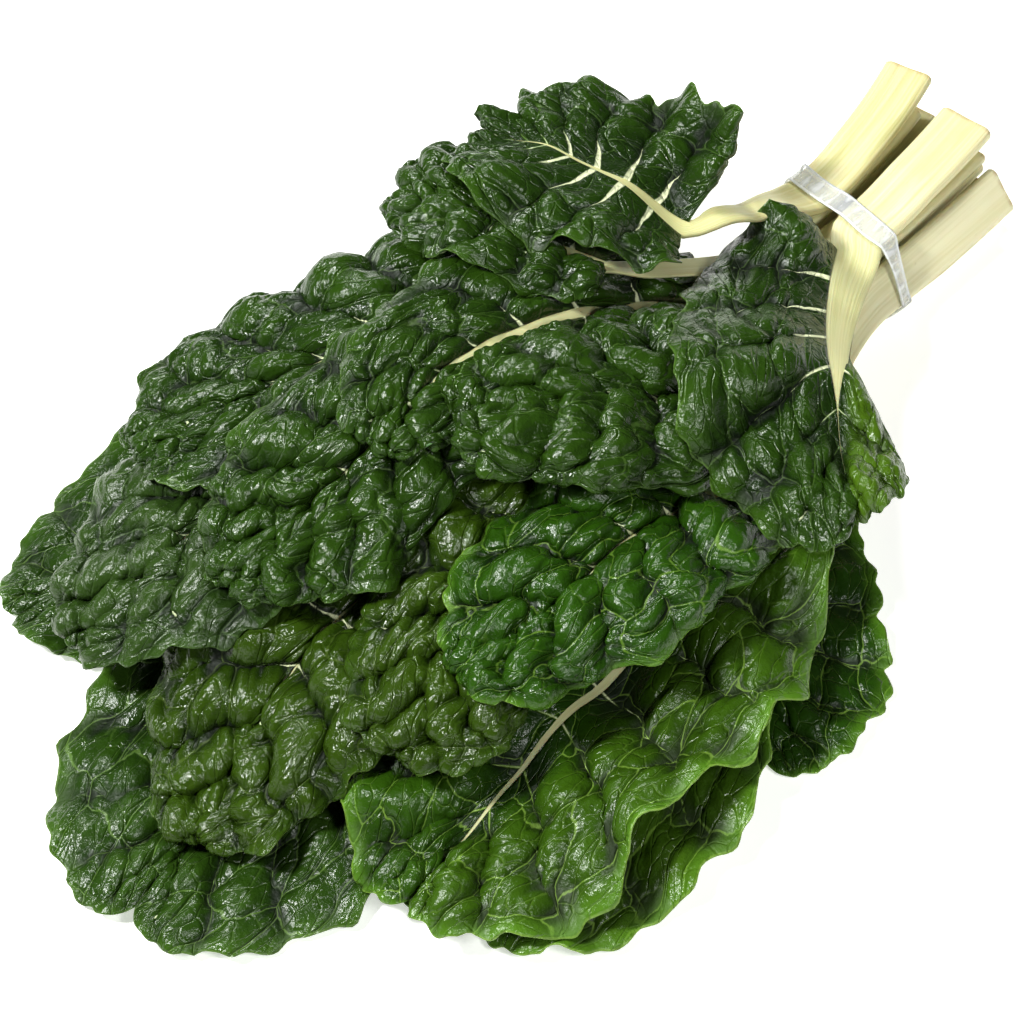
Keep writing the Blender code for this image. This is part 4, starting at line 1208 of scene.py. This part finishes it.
def stem_section():
    """Section of a stalk: flat above with rounded shoulders, and ribbed underneath."""
    angle = np.linspace(0, 2 * math.pi, STALK_CORNERS, endpoint=False)
    across, up = np.cos(angle), np.sin(angle)
    a = np.sign(across) * np.abs(across) ** 0.75
    above = STEM_EDGE + 0.34 * np.abs(up) ** 0.55 - 0.10 * np.clip(1 - (a / 0.8) ** 2, 0, 1)
    below = STEM_EDGE - 0.55 * np.abs(up) ** 0.9 + 0.035 * np.cos(STEM_RIBS * math.pi * a)
    return np.stack([a, np.where(up > 0, above, below)], axis=1)


def make_stalk(shape, look):
    """Petiole and midrib: a loft through rings that shrink from the cut end to the tip."""
    leaf = shape.leaf
    tip = shape.rib_tip() - 0.0004
    rounding, rounded = CUT_ROUNDING
    s = np.arange(shape.cut_s, tip, STALK_STEP)
    s = np.concatenate([[shape.cut_s, shape.cut_s + rounding], s[1:], [tip]])
    rings = shape.stalk(s, stem_section())
    centre = rings.mean(axis=1, keepdims=True)
    rings[0] = centre[0] + (rings[0] - centre[0]) * rounded
    rings[..., 2] = np.maximum(rings[..., 2], 0.0)
    index = closed(np.arange(len(s) * STALK_CORNERS).reshape(len(s), -1), 1)
    faces = grid_faces(index, outward=True).tolist()
    first, last = rings[..., 0].size, rings[..., 0].size + 1
    for k in range(STALK_CORNERS):
        faces.append((index[0, k], index[0, k + 1], first))
        faces.append((index[-1, k + 1], index[-1, k], last))
    points = np.concatenate([rings.reshape(-1, 3), centre[[0, -1], 0]])
    ring_s = np.append(np.repeat(s, STALK_CORNERS), s[[0, -1]])
    around = np.append(np.tile(np.arange(STALK_CORNERS) / STALK_CORNERS, len(s)), [0.0, 0.0])
    attributes = {
        "stalk_at": np.stack([ring_s + leaf.seed, around * 2.4 * leaf.stalk[0], 0 * ring_s], axis=1),
        "leafward": smooth_step((ring_s - shape.band_s) / -shape.band_s),
        "from_cut": ring_s - shape.cut_s,
        "pale": np.full(len(ring_s), leaf.pale),
    }
    attributes["from_cut"][-2:] = 0.004, 1.0
    made = mesh_of(leaf.name + "_white", points, faces, attributes)
    made.data.set_sharp_from_angle(angle=math.radians(60))
    return finished(made, leaf.name + "_stalk", "leaf_stalk", look)


def make_band(look, settings):
    """The clear band: a film closed round the stalks, narrower and lower on its near side."""
    outline = grown(bunch()[1], BAND_GAP, BAND_CORNERS)
    low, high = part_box("band")
    middle = outline.mean(axis=0)
    ahead = np.roll(outline, -1, 0) - np.roll(outline, 1, 0)
    out = np.stack([ahead[:, 1], -ahead[:, 0]], axis=1) / np.linalg.norm(ahead, axis=1)[:, None]
    angle = np.arctan2(outline[:, 1] - middle[1], outline[:, 0] - middle[0])
    pinched = smooth_step((np.cos(angle - math.radians(PINCHED_AT)) - 0.1) / 0.6)
    half = (high.x - low.x) / 2 * (1 - BAND_PINCH * pinched) * 0.98
    drift = -0.0012 * pinched + 0.0005 * np.sin(5 * angle)
    run = run_of(outline)
    lines, spots, edges = [], [], []
    across = (-1.0, -0.82, -0.4, 0.0, 0.4, 0.82, 1.0)
    for u, outer in [(u, 0.0) for u in across] + [(u, 1.0) for u in reversed(across)]:
        raised = settings.film_thickness * outer + 0.00025 * (1 + np.sin(9 * angle + 2 * u)) * outer
        place = outline + out * raised[:, None] - out * (BAND_GAP * 0.6)
        lines.append(np.stack([BAND_X + drift + u * half, place[:, 0], place[:, 1]], axis=1))
        spots.append(np.stack([u * half + 0.01, run, 0 * run], axis=1))
        edges.append((1 - abs(u)) * half)
    index = np.arange(len(lines) * len(outline)).reshape(len(lines), -1)
    faces = grid_faces(closed(closed(index, 0), 1), outward=False)
    attributes = {"band_at": np.concatenate(spots), "to_edge": np.concatenate(edges)}
    made = mesh_of("clear_band", np.concatenate(lines), faces, attributes)
    return finished(made, "band", "band", look)


# ---------------------------------------------------------------- settings


def plain_setting(name, about, default, **more):
    return bpy.props.FloatProperty(name=name, description=about, default=default, **more)


def length_setting(name, about, default):
    return plain_setting(name, about, default, unit="LENGTH")


def angle_setting(name, about, default):
    return plain_setting(name, about, math.radians(default), subtype="ANGLE")


def colour_setting(name, about, default):
    return bpy.props.FloatVectorProperty(
        name=name, description=about, default=default, subtype="COLOR", size=4)


class ChardBladeSettings(bpy.types.PropertyGroup):
    sheet: length_setting("Thickness", "Thickness of a blade", 0.0006)
    room: length_setting("Room", "Space kept under the leaf above", 0.0008)
    puff_share: plain_setting("Puffs", "Height of the puffs as a share of the ridges", 0.34)
    crinkle_share: plain_setting("Crinkles", "Height of the crinkles as a share of the ridges", 0.17)
    swell_share: plain_setting("Swell", "Unevenness of the blade as a share of the ridges", 0.5)
    warp: plain_setting("Warp", "How far the puffs wander from their rows", 0.6)
    crease_depth: length_setting("Creases", "Depth of the finest creases", 0.0008)
    gloss: plain_setting("Gloss", "Strength of the shine", 0.40)
    # strength of the painted shade in the folds
    shade: plain_setting("Shade", "How dark the folds are", 0.85)
    young: colour_setting("Young", "Colour of the youngest halves", rgb(0.075, 0.150, 0.008))


class ChardStalkSettings(bpy.types.PropertyGroup):
    cream: colour_setting("Cream", "Colour between the streaks", rgb(0.60, 0.56, 0.27))
    pale: colour_setting("Pale", "Colour of the streaks", rgb(0.77, 0.74, 0.50))
    streak_depth: length_setting("Streaks", "Depth of the lengthwise streaks", 0.0004)


class ChardBandSettings(bpy.types.PropertyGroup):
    film: colour_setting("Film", "Colour of the film", rgb(0.80, 0.83, 0.84))
    film_thickness: length_setting("Thickness", "Thickness of the film", 0.0005)
    wrinkle_depth: length_setting("Wrinkles", "Depth of its wrinkles", 0.0005)


class ChardStageSettings(bpy.types.PropertyGroup):
    azimuth: angle_setting("Azimuth", "Direction the camera looks from", -45)
    elevation: angle_setting("Elevation", "Height of the camera as an angle", 55)
    distance: length_setting("Distance", "From the camera to the bunch", 1.5)
    view_width: length_setting("View width", "Width seen at the bunch", 0.3850)
    floor_side: length_setting("Floor", "Side of the floor", 8.0)


SETTINGS = {"chard_blade": ChardBladeSettings, "chard_stalk": ChardStalkSettings,
            "chard_band": ChardBandSettings, "chard_stage": ChardStageSettings}

# ---------------------------------------------------------------- operators


class CHARD_OT_blades(bpy.types.Operator):
    """Make all blades, from the topmost leaf to the lowest"""

    bl_idname = "chard.blades"
    bl_label = "Blades"

    def execute(self, context):
        settings = context.scene.chard_blade
        looks = {kind: blade_look(kind, settings) for kind in GREENS}
        looks["underside"] = underside_look(settings)
        ceiling = Ceiling()
        for shape in reversed(bunch()[0]):
            make_blade(shape, ceiling, looks, settings)
        return {"FINISHED"}


class CHARD_OT_stalks(bpy.types.Operator):
    """Make the stalk and midrib of every leaf"""

    bl_idname = "chard.stalks"
    bl_label = "Stalks"

    def execute(self, context):
        look = stalk_look(context.scene.chard_stalk)
        for shape in bunch()[0]:
            make_stalk(shape, look)
        return {"FINISHED"}


class CHARD_OT_band(bpy.types.Operator):
    """Make the clear band round the stalks"""

    bl_idname = "chard.band"
    bl_label = "Band"

    def execute(self, context):
        settings = context.scene.chard_band
        make_band(band_look(settings), settings)
        return {"FINISHED"}


class CHARD_OT_stage(bpy.types.Operator):
    """Set up the pale floor, the soft lights and the camera"""

    bl_idname = "chard.stage"
    bl_label = "Stage"

    LIGHTS = (  # place from the middle of the bunch, side, power
        ((-0.70, 0.35, 1.20), 0.20, 27.0),
        ((0.45, 0.80, 1.00), 0.14, 11.0),
        ((-0.10, -0.95, 1.05), 0.30, 9.5),
    )
    SKY, GAMMA = 0.05, 0.90  # light from all around, and the picture's gamma

    def execute(self, context):
        settings = context.scene.chard_stage
        side = settings.floor_side / 2
        corners = [(-side, -side, 0), (side, -side, 0), (side, side, 0), (-side, side, 0)]
        mesh = bpy.data.meshes.new("floor")
        mesh.from_pydata(corners, [], [(0, 1, 2, 3)])
        mesh.materials.append(floor_look())
        floor = bpy.data.objects.new("floor", mesh)
        context.scene.collection.objects.link(floor)

        middle = Vector(shift())
        for number, (place, size, power) in enumerate(self.LIGHTS):
            light = bpy.data.lights.new(f"soft_{number + 1}", "AREA")
            light.size, light.energy = size, power
            self.aim(context, light, middle + Vector(place), middle)
        world = bpy.data.worlds.new("studio")
        context.scene.world = world
        world.use_nodes = True
        glow = world.node_tree.nodes["Background"].inputs
        glow["Color"].default_value, glow["Strength"].default_value = rgb(1.0, 1.0, 1.0), self.SKY
        context.scene.view_settings.view_transform = "Standard"
        context.scene.view_settings.gamma = self.GAMMA

        camera = bpy.data.cameras.new("camera")
        camera.lens = camera.sensor_width * settings.distance / settings.view_width
        turn, rise = settings.azimuth, settings.elevation
        back = Vector((math.sin(turn) * math.cos(rise), -math.cos(turn) * math.cos(rise), math.sin(rise)))
        context.scene.camera = self.aim(context, camera, middle + back * settings.distance, middle)
        return {"FINISHED"}

    @staticmethod
    def aim(context, data, place, target):
        """A camera or a light at this place that looks at the target."""
        made = bpy.data.objects.new(data.name, data)
        context.scene.collection.objects.link(made)
        made.location = place
        made.rotation_euler = (target - place).to_track_quat("-Z", "Y").to_euler()
        return made


OPERATORS = (CHARD_OT_blades, CHARD_OT_stalks, CHARD_OT_band, CHARD_OT_stage)


class CHARD_PT_panel(bpy.types.Panel):
    """Shows each step's button with its settings"""

    bl_idname = "CHARD_PT_panel"
    bl_label = "Chard bunch"
    bl_space_type = "VIEW_3D"
    bl_region_type = "UI"
    bl_category = "Chard"

    def draw(self, context):
        for operator, name in zip(OPERATORS, SETTINGS):
            box = self.layout.box()
            box.operator(operator.bl_idname)
            group = getattr(context.scene, name)
            for key in SETTINGS[name].__annotations__:
                box.prop(group, key)


CLASSES = (*SETTINGS.values(), *OPERATORS, CHARD_PT_panel)


def register():
    for made in CLASSES:
        bpy.utils.register_class(made)
    for name, group in SETTINGS.items():
        setattr(bpy.types.Scene, name, bpy.props.PointerProperty(type=group))


def unregister():
    for name in SETTINGS:
        delattr(bpy.types.Scene, name)
    for made in reversed(CLASSES):
        bpy.utils.unregister_class(made)


def main():
    register()
    bpy.ops.chard.stage()
    bpy.ops.chard.stalks()
    bpy.ops.chard.blades()
    bpy.ops.chard.band()


if __name__ == "__main__":
    main()
